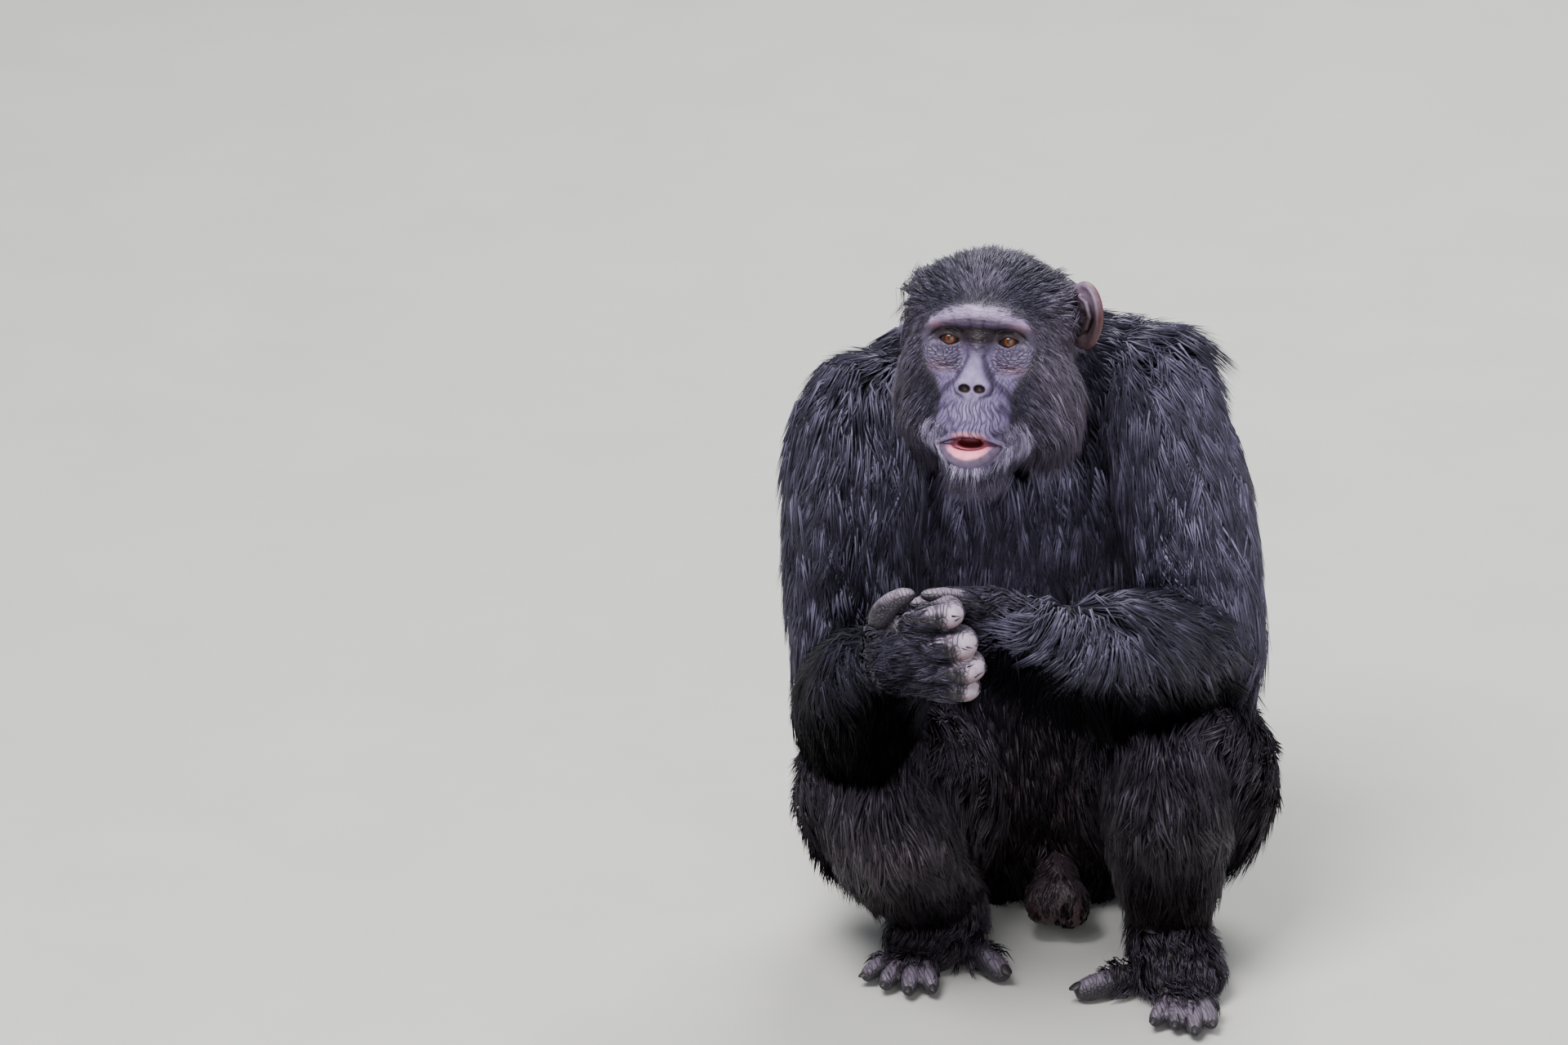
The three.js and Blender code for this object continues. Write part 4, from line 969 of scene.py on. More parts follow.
def head_flow(thing, h, normals):
    """The lie of the head's hair: away from a spot over the brow, then down the sides and the nape."""
    x, y, z = h.T
    sign = np.sign(x)
    flow = h - np.array([0, -5, 36]) + np.array([0, 14, 0])
    side_way = np.stack([0.25 * sign, np.full(len(h), 0.45), np.full(len(h), -1.0)], axis=1)
    cheek_way = np.stack([0.7 * sign, np.full(len(h), 0.5), np.full(len(h), -1.0)], axis=1)
    chin_way = np.stack([0.25 * sign, np.full(len(h), -0.1), np.full(len(h), -1.0)], axis=1)
    nape_way = np.array([[0, 0.3, -1.0]])
    flow = unit(flow)
    side = smooth_step(30, 0, z) * smooth_step(30, 50, np.abs(x))
    flow = between(flow, side_way, side)
    flow = between(flow, cheek_way, smooth_step(-5, -35, z))
    flow = between(flow, chin_way, smooth_step(-80, -105, z) * smooth_step(60, 40, np.abs(x)))
    flow = between(flow, nape_way, smooth_step(95, 125, y))
    ear_way = np.array([[0.45, 1.0, -0.25]])
    ear_middle = EAR["left"][1]
    before_ear = smooth_step(ear_middle - 6, ear_middle - 22, y) * smooth_step(-12, 6, z)
    flow = between(flow, ear_way, smooth_step(42, 14, ear_distance(h, "left")) * before_ear)
    return combed(thing, unit(flow @ head_turning.T), normals, rounds=6)


def head_fields(thing):
    """The same fields for the head: crown, whiskers, chin and the white hair beside the mouth."""
    points, normals = own_points(thing), normals_of(thing)
    h = to_head(points)
    x, y, z = h.T
    sign = np.sign(x)
    gap = beyond_face(h)
    whisker = smooth_step(10, -25, z) * smooth_step(44, 62, np.abs(x)) * smooth_step(120, 95, y)
    chin = smooth_step(-95, -112, z)
    nape = smooth_step(90, 125, y)
    jowl = smooth_step(-20, -45, z) * (1 - chin)
    out = np.maximum(smooth_step(4 * jowl, 26 + 10 * jowl, gap), 0.7 * chin * smooth_step(-3, 6, gap))
    low_side = smooth_step(-84, -98, z) * smooth_step(20, 32, np.abs(x)) * smooth_step(-138, -126, z)
    light = smooth_step(16 + 12 * low_side, 5 + 12 * low_side, gap) * smooth_step(-62, -82, z)
    light = light * (1 - 0.6 * chin * (1 - low_side))
    beside = smooth_step(38, 66, np.abs(x))
    spot = smooth_step(20, 30, z) * smooth_step(24, 8, np.abs(x))
    tall = 2 + out * (17 + 24 * beside * (1 - whisker) + (24 + 9 * sign) * whisker + 4 * chin)
    long = 10 + out * (46 + 18 * whisker - 6 * chin + 14 * nape) * (1 - 0.3 * light)
    # Lighter hair on the crown and the temples: partly its own colour, partly painted light, most at the
    # temple on the x > 0 side
    crown_tone_and_painted_light = smooth_step(48, 68, z)
    temple_tone_and_painted_light = beside * np.where(x > 0, 1.0, 0.6)
    tan_and_painted_light = np.maximum.reduce([0.6 * whisker, temple_tone_and_painted_light, 0.5 * crown_tone_and_painted_light, 0.45 * spot])
    tan_tip_and_painted_light = np.maximum.reduce([0.9 * whisker, temple_tone_and_painted_light, 0.95 * crown_tone_and_painted_light, 0.5 * chin])
    bare_ear = smooth_step(1.5, 4, ears_away(h))
    turn, rise = np.arctan2(x, -(y - 60)), np.arctan2(z, np.hypot(x, y - 60))
    return {
        "points": points, "normals": normals, "flow": head_flow(thing, h, normals), "head": h, "gap": gap,
        "place": np.stack([turn / (2 * math.pi) + 0.5, 0.5 + rise / math.pi], axis=1),
        "low_side": low_side, "long": long, "tall": tall,
        "hang": np.maximum(0.8 * chin, 0.5 * whisker * smooth_step(0, -50, z)),
        "droop": 0.36 * chin + 0.10 * whisker,
        "dense": smooth_step(-3, 5, gap) * bare_ear * (1 - 0.85 * light) * (1 + 1.2 * chin),
        "wide": 0.6 + 0.65 * out, "light": light,
        "hair": between(HAIR_BLACK_AND_PAINTED_SHEEN, TAN * 0.46, tan_and_painted_light), "tip": between(HAIR_BLACK_AND_PAINTED_SHEEN * 1.8, TAN, tan_tip_and_painted_light),
    }


def creases_of(h):
    """Coordinates along and across the fine creases of the face, with their strength."""
    x, z = h[:, 0], h[:, 2]
    wide = np.abs(x)
    front = smooth_step(34, 18, h[:, 1])
    fan = x / (2.7 * (1 + 0.02 * np.clip(-46 - z, 0, 60))) + 0.4 * np.sin(z * 0.3)
    ring, turn = np.hypot(wide - 29, (z - 8) * 1.15), np.arctan2(wide - 29, 8 - z)
    on_lip = smooth_step(-44, -58, z) * smooth_step(-89, -84, z) * smooth_step(38, 26, wide)
    under_eye = smooth_step(-36, -28, z) * smooth_step(-2, -9, z) * smooth_step(12, 17, wide) * 0.9
    on_brow = smooth_step(18, 24, z) * smooth_step(38, 30, z) * 0.45
    on_bridge = smooth_step(14, 8, wide) * smooth_step(-14, -6, z) * smooth_step(20, 12, z) * 0.5
    on_cheek = smooth_step(-26, -32, z) * smooth_step(-62, -54, z) * smooth_step(18, 22, wide) * 0.6
    kinds = [
        (fan, (z + 0.012 * x ** 2) / 17, on_lip),
        (ring / 3.1, turn * 3.6, under_eye),
        (x / 12, z / 3.2, on_brow),
        (x / 9, z / 2.8, on_bridge),
        ((wide * 0.85 + z * 0.5) / 3.2, (z * 0.85 - wide * 0.5) / 10, on_cheek),
    ]
    strengths = np.stack([kind[2] for kind in kinds])
    order = np.sort(strengths, axis=0)
    chosen = np.argmax(strengths, axis=0)
    pick = np.arange(len(h))
    along, across = (np.stack([kind[n] for kind in kinds])[chosen, pick] for n in (0, 1))
    return np.stack([along, across, (order[-1] - order[-2]) * front], axis=1)


def upper_face_tones(m):
    """The face without its mouth: mauve-grey, darker on the cheeks than on the muzzle and nose, partly as
    painted shade; pinker on the brow, with painted light on its top and painted shade under it; and painted
    shade round the eyes.
    """
    x, _, z = m.T
    tone = np.tile((0.088, 0.066, 0.125), (len(m), 1))
    # Lighter on the muzzle and nose than on the cheeks: partly painted light and shade
    muzzle = smooth_step(-22, -36, z) * smooth_step(44, 30, x)
    tone = between(tone, (0.150, 0.112, 0.228), muzzle)
    nose = smooth_step(20, 8, x) * smooth_step(-6, -18, z) * smooth_step(-52, -44, z)
    tone = between(tone, (0.210, 0.160, 0.300), nose)
    # The brow: painted light on its top and painted shade along its lower edge
    brow_line = bar(m.astype(np.float32), BROW_LINE, 0)
    lower_edge = 20.5 - 0.0045 * x ** 2
    brow = smooth_step(13, 6, brow_line) * smooth_step(lower_edge - 3, lower_edge + 4, z)
    painted_light_share = smooth_step(lower_edge + 1.5, lower_edge + 9, z)
    tone = between(tone, between((0.050, 0.025, 0.030), (0.46, 0.335, 0.55), painted_light_share), brow)
    # Painted shade round the eyes and between them, under the brow
    painted_socket_shade = np.exp(-(((x - 29) / 22) ** 2 + ((z - 6) / 9) ** 2))
    painted_socket_shade = painted_socket_shade + np.exp(-((x / 17) ** 2 + ((z - 8) / 9) ** 2))
    tone = between(tone, (0.016, 0.009, 0.013), np.clip(painted_socket_shade * 1.35, 0, 0.97) * (1 - brow))
    rosy = np.exp(-(((x - 38) / 9) ** 2 + ((z - 15) / 4) ** 2))
    rosy = rosy + np.exp(-(((x - 36) / 12) ** 2 + ((z + 25) / 5) ** 2))
    return between(tone, (0.23, 0.10, 0.12), np.clip(rosy, 0, 1) * 0.35)


def mouth_tones(tone, m):
    """The lips, with a red lining that shows between them, and painted shade in the hollows of mouth and
    nose, the mouth's dark red being partly its own.
    """
    x, y, z = m.T
    rim = -86 - 9 * (x / 29) ** 2
    lining = -104.5 + 11 * (x / 25) ** 2
    front = smooth_step(-20, -30, y)
    inner = smooth_step(lining - 1.5, lining + 1.5, z) * smooth_step(rim + 1, rim - 1, z)
    inner = inner * smooth_step(27, 23, x) * front
    border = np.exp(-((z - rim - 4.2) / 1.9) ** 2) * smooth_step(21, 10, x) * front
    edge = np.exp(-((z - rim - 0.4) / 1.3) ** 2) * smooth_step(33, 29, x) * front
    lip = smooth_step(-114, -109, z) * smooth_step(lining + 1, lining - 1, z) * front * smooth_step(36, 31, x)
    tone = between(tone, (0.105, 0.072, 0.118), lip * 0.9)
    tone = between(tone, (0.55, 0.17, 0.17), border * 0.8)
    tone = between(tone, (0.86, 0.27, 0.37), inner * smooth_step(26, 12, x))
    # Painted shade deep in the mouth, over its own dark red
    deep = smooth_step(2.2, 0.4, oval(m, *MOUTH_CAVITY))
    tone = between(tone, (0.12, 0.010, 0.010), deep * inner)
    tone = between(tone, (0.014, 0.007, 0.010), edge * 0.95)
    # Painted shade in the nostrils
    nostril_painted_shade = smooth_step(1.6, 0.2, oval(m, *NOSTRIL))
    return between(tone, (0.016, 0.008, 0.010), nostril_painted_shade)


def ear_tones(tone, h):
    """The ears, brown with a reddish rim, and darker towards the bottom of their hollow as painted shade."""
    for side in ("left", "right"):
        ear = smooth_step(3, 0.5, ear_distance(h, side))
        out = h - np.array(EAR[side])
        level = np.hypot(out[:, 0], out[:, 1]) / EAR_WIDTH
        far = smooth_step(0.965, 1.01, np.hypot(level, out[:, 2] / EAR_HEIGHT))
        # Painted shade in the lower part of the hollow
        hollow_painted_shade = smooth_step(22, -2, out[:, 2]) * smooth_step(0.95, 0.7, far)
        inside = between((0.17, 0.12, 0.175), (0.026, 0.014, 0.018), hollow_painted_shade)
        tone = between(tone, between(inside, (0.10, 0.030, 0.030), far), ear)
    return tone


def face_skin(f):
    """The colour of the head's skin, with painted shade in its folds, and nearly black under the hair, partly
    as painted shade.
    """
    h = f["head"]
    m = h.copy()
    m[:, 0] = np.abs(h[:, 0])
    tone = upper_face_tones(m)
    # Painted shade in the folds and fine creases, and a little painted light on the ridges between the fine
    # ones
    fold_painted_shade = 0.8 * np.clip(fold_depth(h) / 1.5, 0, 1) + 0.75 * np.clip(ripple_depth(h) / 0.7, -0.3, 1)
    tone = tone * (1 - 0.7 * np.clip(fold_painted_shade, -0.3, 1))[:, None]
    tone = ear_tones(mouth_tones(tone, m), h)
    # Near black under the hair: partly the skin's own dark colour, partly painted shade in the gaps of the
    # hair
    scalp = smooth_step(-2, 5, f["gap"]) * smooth_step(1, 4, ears_away(h)) * (1 - 0.8 * f["light"])
    return between(tone, (0.020, 0.017, 0.022), scalp)


head_f = head_fields(head)
head_f["skin"] = face_skin(head_f)
head_f["creases"] = creases_of(head_f["head"])


def pad_skin(f, skin, creases, pads):
    """Skin and creases with the pale pads of the knuckles, ringed by wrinkles, laid over them; the pads have
    painted light on top and painted shade below.
    """
    p = f["points"]
    outs = np.stack([near_oval(p, centre, (radius,) * 3) for centre, radius in pads])
    nearest = np.argmin(outs, axis=0)
    out = outs.min(axis=0)
    away = p - np.array([centre for centre, radius in pads])[nearest]
    radii = np.array([radius for centre, radius in pads])[nearest]
    # Painted light on the upper side of the pads and painted shade on their lower side
    painted_light_share = smooth_step(-0.9, 0.5, f["normals"][:, 2])
    pad_tone = between((0.13, 0.075, 0.075), (0.44, 0.345, 0.44), painted_light_share)
    skin = between(skin, pad_tone, smooth_step(1.35, 0.85, out))
    turn = np.arctan2(away[:, 2], -away[:, 0])
    depth = 1.2 * smooth_step(0.85, 1.0, out)
    rings = np.stack([out * radii / 3.2, turn * 1.6 + nearest * 9, depth], axis=1)
    return skin, np.where((out < 1.7)[:, None], rings, creases)


def paw_fields(thing, name, bare_lines, painted_shade_tone, painted_light_tone, pads=()):
    """The same fields for a hand or foot: its hair is short and ends before the bare digits."""
    f = limb_fields(thing, [name])
    p = f["points"]
    gap = np.min([bar(p, line, radius) for line, radius in bare_lines], axis=0)
    covered = smooth_step(-2, 8, gap)
    low = smooth_step(8, 22, p[:, 2])
    f["dense"] = covered * low
    f["wide"] = np.full(len(gap), 1.7)
    f["long"] = 14 + 18 * covered
    f["tall"] = 2 + f["tall"] * covered
    foot = name.startswith("instep")
    browner = np.full(len(gap), 0.6 if foot else 0.25)
    f["hair"] = between(HAIR_BLACK_AND_PAINTED_SHEEN * 0.75, BROWN * 0.7, browner)
    f["tip"] = between(HAIR_BLACK_AND_PAINTED_SHEEN * 1.1, BROWN * 1.1, browner)
    # Painted light on bare skin that faces up, painted shade on bare skin that faces down
    skin = between(painted_shade_tone, painted_light_tone, smooth_step(0.25, 0.9, f["normals"][:, 2]))
    along, across = (p[:, 0] + p[:, 1] * 0.4) / 4, (p[:, 2] - p[:, 1] * 0.5) / 4
    creases = np.stack([along, across, np.full(len(p), 0.8)], axis=1)
    if pads:
        skin, creases = pad_skin(f, skin, creases, pads)
    # Near black where hair covers it: partly the skin's own dark colour, partly painted shade in the gaps of
    # the hair
    f["skin"] = between(skin, (0.03, 0.026, 0.032), smooth_step(0.35, 0.9, covered) * low)
    f["creases"] = creases
    return f


pads = [((x + 5, y - 5, z), radius * 1.05) for (x, y, z), radius in zip(KNUCKLES, KNUCKLE_RADII)]
right_bare = [(line[1:], radius + 2) for line, radius in RIGHT_DIGITS]
left_bare = [(line[1:], radius + 2) for line, radius in LEFT_DIGITS]
# The bare skin of the hands and feet, in painted shade and in painted light
HAND_PAINTED_SHADE, HAND_PAINTED_LIGHT = (0.024, 0.018, 0.026), (0.24, 0.19, 0.26)
FOOT_PAINTED_SHADE, FOOT_PAINTED_LIGHT = (0.030, 0.024, 0.032), (0.137, 0.108, 0.150)
paw_f = {
    hand_right: paw_fields(hand_right, "palm_right", right_bare, HAND_PAINTED_SHADE, HAND_PAINTED_LIGHT, pads),
    hand_left: paw_fields(hand_left, "palm_left", left_bare, HAND_PAINTED_SHADE, HAND_PAINTED_LIGHT),
}
for foot, side in ((foot_left, "left"), (foot_right, "right")):
    bare = [(toe_line(side, x, y)[1:], 10) for x, y in TOE_TIPS[side]]
    end = big_toe_line(side)
    bare.append(([at(end[1], end[2], 0.35), end[2]], 13))
    paw_f[foot] = paw_fields(foot, f"instep_{side}", bare, FOOT_PAINTED_SHADE, FOOT_PAINTED_LIGHT)


# The whole hide as one skin.
# The parts overlap well inside one another where they meet, under the hair, so that no seam shows.
# Its colours are worked out at its points.
def paint(thing, tones, name="tone"):
    colours = thing.data.color_attributes.new(name, "FLOAT_COLOR", "POINT")
    rgba = np.ones((len(tones), 4), np.float32)
    rgba[:, :3] = tones
    colours.data.foreach_set("color", rgba.ravel())


grounds = {}
for thing, fields in [(body, body_fields), (head, head_f), *paw_f.items()]:
    paint(thing, fields["skin"])
    plain = np.concatenate([fields["points"][:, ::2] / 5, np.full((len(fields["points"]), 1), 0.4)], axis=1)
    paint(thing, fields.get("creases", plain), "creases")
    fields["faces"] = triangles_of(thing)
    grounds[thing.name] = fields


def eased(thing, points, normals):
    """Points raised where a skin is creased, so that hair lies over the crease and not in it."""
    rounds, highest = 45, 22
    a, b = edge_ends(thing)
    count = np.bincount(a, minlength=len(points)) + np.bincount(b, minlength=len(points))
    smooth = points.copy()
    for _ in range(rounds):
        for i in range(3):
            total = np.bincount(a, smooth[b, i], len(points)) + np.bincount(b, smooth[a, i], len(points))
            smooth[:, i] = (smooth[:, i] + total / np.maximum(count, 1)) / 2
    raised = np.clip(np.sum((smooth - points) * normals, axis=1), 0, highest)
    return points + normals * raised[:, None]


# Every tuft is laid over all of the skins, so that the hair of one part passes over the next
body_fields["land"] = eased(body, body_fields["points"], body_fields["normals"])
land_points, land_faces, land_flow, land_start = [], [], [], 0
for fields in grounds.values():
    land_points.append(fields.get("land", fields["points"]))
    shown = np.ones(len(fields["faces"]), bool)
    if "head" in fields:
        shown = (ear_distance(fields["head"], "right") > 1)[fields["faces"]].all(axis=1)
    land_faces.append(fields["faces"][shown] + land_start)
    land_flow.append(fields["flow"])
    land_start += len(fields["points"])
land_points, land_faces, land_flow = (np.concatenate(part) for part in (land_points, land_faces, land_flow))
land = BVHTree.FromPolygons([tuple(p) for p in land_points.tolist()], land_faces.tolist())
face_flow = unit(land_flow[land_faces].sum(axis=1))


def follow(points):
    """The nearest places on the skins, with their normals and the lie of the hair there."""
    spots, normals, numbers = [], [], []
    for point in points.tolist():
        spot, normal, number, _ = land.find_nearest(point)
        spots.append(spot[:])
        normals.append(normal[:])
        numbers.append(number)
    return np.array(spots), np.array(normals), face_flow[numbers]


def picked_roots(f, mask, count, rng):
    """Places spread over the chosen faces by their area and density, with every field at them."""
    faces = f["faces"][mask[f["faces"]].all(axis=1)]
    a, b, c = (f["points"][faces[:, i]] for i in range(3))
    area = np.linalg.norm(np.cross(b - a, c - a), axis=1) * f["dense"][faces].mean(axis=1)
    edge = np.cumsum(area)
    spread = (np.arange(count) + rng.random(count)) / count * edge[-1]
    chosen = faces[np.minimum(np.searchsorted(edge, spread), len(faces) - 1)]
    u, v = rng.random(count), rng.random(count)
    flip = u + v > 1
    u[flip], v[flip] = 1 - u[flip], 1 - v[flip]
    shares = np.stack([1 - u - v, u, v], axis=1)
    roots = {}
    for key in ("points", "normals", "flow", "hair", "tip"):
        roots[key] = np.sum(f[key][chosen] * shares[..., None], axis=1)
    for key in ("long", "tall", "wide", "hang", "droop"):
        roots[key] = np.sum(f[key][chosen] * shares, axis=1)
    roots["place"] = f["place"][chosen[:, 0]]
    roots["normals"], roots["flow"] = unit(roots["normals"]), unit(roots["flow"])
    return roots


# The tufts of the coat.
# Each is a flat taper that lies over the skins, and neighbours draw together into locks. It has
# three corners in the skin (0 to 2), three at its middle (3 to 5) and its tip (6).
TUFT_CORNERS = 7
TUFT_FACES = np.array([
    (0, 1, 2), (1, 0, 3), (1, 3, 4), (2, 1, 4), (2, 4, 5),
    (0, 2, 5), (0, 5, 3), (4, 3, 6), (5, 4, 6), (3, 5, 6),
])
# The small patch that each tuft has on the unwrap, about the place of its root
PATCH = 0.003
TUFT_PATCH = PATCH * np.array([
    (-0.5, -0.5), (0.5, -0.5), (0, -0.4), (-0.4, 0.05), (0.4, 0.05), (0, 0.1), (0, 0.5),
])
LOCK_REACH = 30
FLOOR_LEVEL = 1.2
ROOT_DEPTH = 1.6


def leaders(root, clump):
    """For each tuft the one that leads its lock."""
    tree = KDTree(len(root) // clump)
    for i in range(len(root) // clump):
        tree.insert(root[i * clump], i)
    tree.balance()
    return np.array([tree.find(point)[1] for point in root.tolist()]) * clump


def tuft_lines(r, leader, rng, pull, stray, locks):
    """The middle and tip of each tuft, laid over the skins and drawn towards the leader of its lock."""
    root, normal, count = r["points"], r["normals"], len(leader)
    turn = (rng.normal(0, stray, count) + rng.normal(0, locks, count)[leader])[:, None]
    flow = unit(r["flow"] + np.cross(normal, r["flow"]) * turn)
    long = (r["long"] * rng.uniform(0.72, 1.0, count) * rng.uniform(0.8, 1.2, count)[leader])[:, None]
    tall = (r["tall"] * (0.35 + 0.3 * rng.random(count) + 0.4 * rng.random(count)[leader]))[:, None]
    spot, up, way = follow(root + flow * long * 0.5)
    middle = spot + up * tall * 0.66
    way = unit(way + np.cross(up, way) * turn)
    spot, up, _ = follow(spot + way * long * 0.5)
    free = root + flow * long + normal * tall * 0.8
    tip = spot + up * tall
    tip += (free - tip) * r["hang"][:, None]
    tip[:, 2] -= r["droop"] * long[:, 0]
    near = np.linalg.norm(root - root[leader], axis=1)[:, None] < LOCK_REACH
    draw = pull * rng.uniform(0.5, 1.0, count)[:, None] * near
    tip = tip + (tip[leader] - tip) * draw
    middle = middle + (middle[leader] - middle) * draw * 0.4
    middle[:, 2] = np.maximum(middle[:, 2], FLOOR_LEVEL)
    tip[:, 2] = np.maximum(tip[:, 2], FLOOR_LEVEL)
    return middle, tip, up


def tuft_corners(r, middle, tip, up, rng):
    """The corners of the tufts: flat, widest at the middle, closed at the root and at the tip."""
    root, normal = r["points"], r["normals"]
    side = unit(np.cross(middle - root, normal))
    tip_side = unit(np.cross(tip - middle, up))
    wide = (r["wide"] * rng.uniform(0.75, 1.2, len(root)))[:, None]
    low = root - normal * ROOT_DEPTH
    return np.stack([
        low - side * wide * 0.36, low + side * wide * 0.36, low + normal * wide * 0.5,
        middle - tip_side * wide * 0.5, middle + tip_side * wide * 0.5, middle + up * wide * 0.34, tip,
    ], axis=1)


def tuft_tones(r, leader, rng):
    """The colours of the corners: darkened in the skin as painted shade, lighter at the middle and lightest
    at the tip.
    """
    count = len(leader)
    bright = np.exp(rng.normal(0, 0.32, count)) * (0.6 + 0.8 * rng.random(count)[leader])
    hair, end = r["hair"] * bright[:, None], r["tip"] * bright[:, None]
    # The corners in the skin are darkened as painted shade deep in the coat
    return np.stack([hair * 0.35] * 3 + [hair] * 3 + [end], axis=1)


def coat(name, f, mask, count, seed, clump=10, pull=0.5, stray=0.10, locks=0.22):
    """One piece of the coat: flat tapering tufts in locks, the numbers saying how wild they are."""
    rng = np.random.default_rng(seed)
    r = picked_roots(f, mask, count, rng)
    leader = leaders(r["points"], clump)
    points = tuft_corners(r, *tuft_lines(r, leader, rng, pull, stray, locks), rng)
    tones = tuft_tones(r, leader, rng)
    faces = (TUFT_FACES + (np.arange(count) * TUFT_CORNERS)[:, None, None]).reshape(-1, 3)
    piece = mesh_from(name, set_in(points.reshape(-1, 3)), faces)
    piece.data.shade_smooth()
    paint(piece, tones.reshape(-1, 3))
    unwrap = piece.data.uv_layers.new(name="OFBake")
    patch = r["place"][:, None] * (1 - 2 * PATCH) + PATCH + TUFT_PATCH[TUFT_FACES.ravel()]
    unwrap.data.foreach_set("uv", np.ascontiguousarray(patch, np.float32).ravel())
    piece.data.materials.append(coat_material)
    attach(piece, "root")


# The materials of the hide.
# They are procedural: noise in Object coordinates over the colours that the points carry, with
# pores and a net of creases on the skin, darkened in its creases as painted shade, and a cool shine on the
# hair.
def principled(name, roughness, specular):
    material = bpy.data.materials.new(name)
    material.use_nodes = True
    shader = material.node_tree.nodes["Principled BSDF"]
    shader.inputs["Roughness"].default_value = roughness
    shader.inputs["Specular IOR Level"].default_value = specular
    return material, material.node_tree.nodes, material.node_tree.links, shader


def noise_at(nodes, links, source, scale, detail=3, roughness=0.6):
    noise = nodes.new("ShaderNodeTexNoise")
    noise.inputs["Scale"].default_value = scale
    noise.inputs["Detail"].default_value = detail
    noise.inputs["Roughness"].default_value = roughness
    links.new(source, noise.inputs["Vector"])
    return noise.outputs["Fac"]


def plain_colour(nodes, rgb):
    node = nodes.new("ShaderNodeRGB")
    node.outputs[0].default_value = (*rgb, 1)
    return node.outputs[0]


def object_place(nodes):
    return nodes.new("ShaderNodeTexCoord").outputs["Object"]


def attribute(nodes, name):
    """What a mesh carries under this name at each of its points."""
    node = nodes.new("ShaderNodeAttribute")
    node.attribute_name = name
    return node.outputs


def ranged(nodes, links, source, start, stop, low, high):
    """A value that runs from low to high while its source runs from start to stop."""
    node = nodes.new("ShaderNodeMapRange")
    for name, value in (("From Min", start), ("From Max", stop), ("To Min", low), ("To Max", high)):
        node.inputs[name].default_value = value
    links.new(source, node.inputs["Value"])
    return node.outputs["Result"]


def times(nodes, links, base, share):
    """A colour times a value."""
    node = nodes.new("ShaderNodeVectorMath")
    node.operation = "SCALE"
    links.new(base, node.inputs[0])
    links.new(share, node.inputs["Scale"])
    return node.outputs["Vector"]


def mixed_by(nodes, links, base, share, low, high):
    """A colour made darker and lighter by a pattern, from low to high times itself."""
    return times(nodes, links, base, ranged(nodes, links, share, 0.3, 0.7, low, high))


def bumped(nodes, links, height, strength, distance, under=None, invert=False):
    """A normal pressed by a height, in metres, over another one if that is given."""
    bump = nodes.new("ShaderNodeBump")
    bump.invert = invert
    bump.inputs["Strength"].default_value = strength
    bump.inputs["Distance"].default_value = distance
    links.new(height, bump.inputs["Height"])
    if under is not None:
        links.new(under, bump.inputs["Normal"])
    return bump.outputs["Normal"]


skin_material, nodes, links, shader = principled("skin", 0.5, 0.38)
place, creases = object_place(nodes), attribute(nodes, "creases")["Vector"]
axes = nodes.new("ShaderNodeSeparateXYZ")
links.new(creases, axes.inputs["Vector"])
net = nodes.new("ShaderNodeTexVoronoi")
net.voronoi_dimensions = "2D"
net.feature = "DISTANCE_TO_EDGE"
net.inputs["Scale"].default_value = 1
links.new(creases, net.inputs["Vector"])
depth = nodes.new("ShaderNodeMath")
depth.operation = "MULTIPLY"
links.new(ranged(nodes, links, net.outputs["Distance"], 0, 0.2, 1, 0), depth.inputs[0])
links.new(axes.outputs["Z"], depth.inputs[1])
# Painted shade: the colour is darkened along the net of creases
shown = ranged(nodes, links, depth.outputs["Value"], 0, 1, 1, 0.34)
crease_painted_shade = times(nodes, links, attribute(nodes, "tone")["Color"], shown)
mottle = noise_at(nodes, links, place, 160)
links.new(mixed_by(nodes, links, crease_painted_shade, mottle, 0.82, 1.16), shader.inputs["Base Color"])
pores = nodes.new("ShaderNodeTexVoronoi")
pores.inputs["Scale"].default_value = 620
links.new(place, pores.inputs["Vector"])
pore_bump = bumped(nodes, links, pores.outputs["Distance"], 0.3, 0.0005)
crease_bump = bumped(nodes, links, depth.outputs["Value"], 0.8, 0.0009, pore_bump, invert=True)
links.new(crease_bump, shader.inputs["Normal"])

coat_material, nodes, links, shader = principled("coat", 0.40, 0.28)
tone = attribute(nodes, "tone")
drift = noise_at(nodes, links, object_place(nodes), 28)
links.new(mixed_by(nodes, links, tone["Color"], drift, 0.75, 1.25), shader.inputs["Base Color"])
shader.inputs["Specular Tint"].default_value = (0.80, 0.80, 1, 1)
gloss = ranged(nodes, links, tone["Fac"], 0, 0.045, 0, 0.42)
links.new(gloss, shader.inputs["Specular IOR Level"])

only(body, head, hand_right, hand_left, foot_left, foot_right)
bpy.ops.object.join()
skin = bpy.context.object
skin.name = "skin"
bpy.ops.object.shade_smooth()
skin.data.materials.clear()
skin.data.materials.append(skin_material)
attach(skin, "root")
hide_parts(*[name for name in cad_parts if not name.startswith("eye_")])


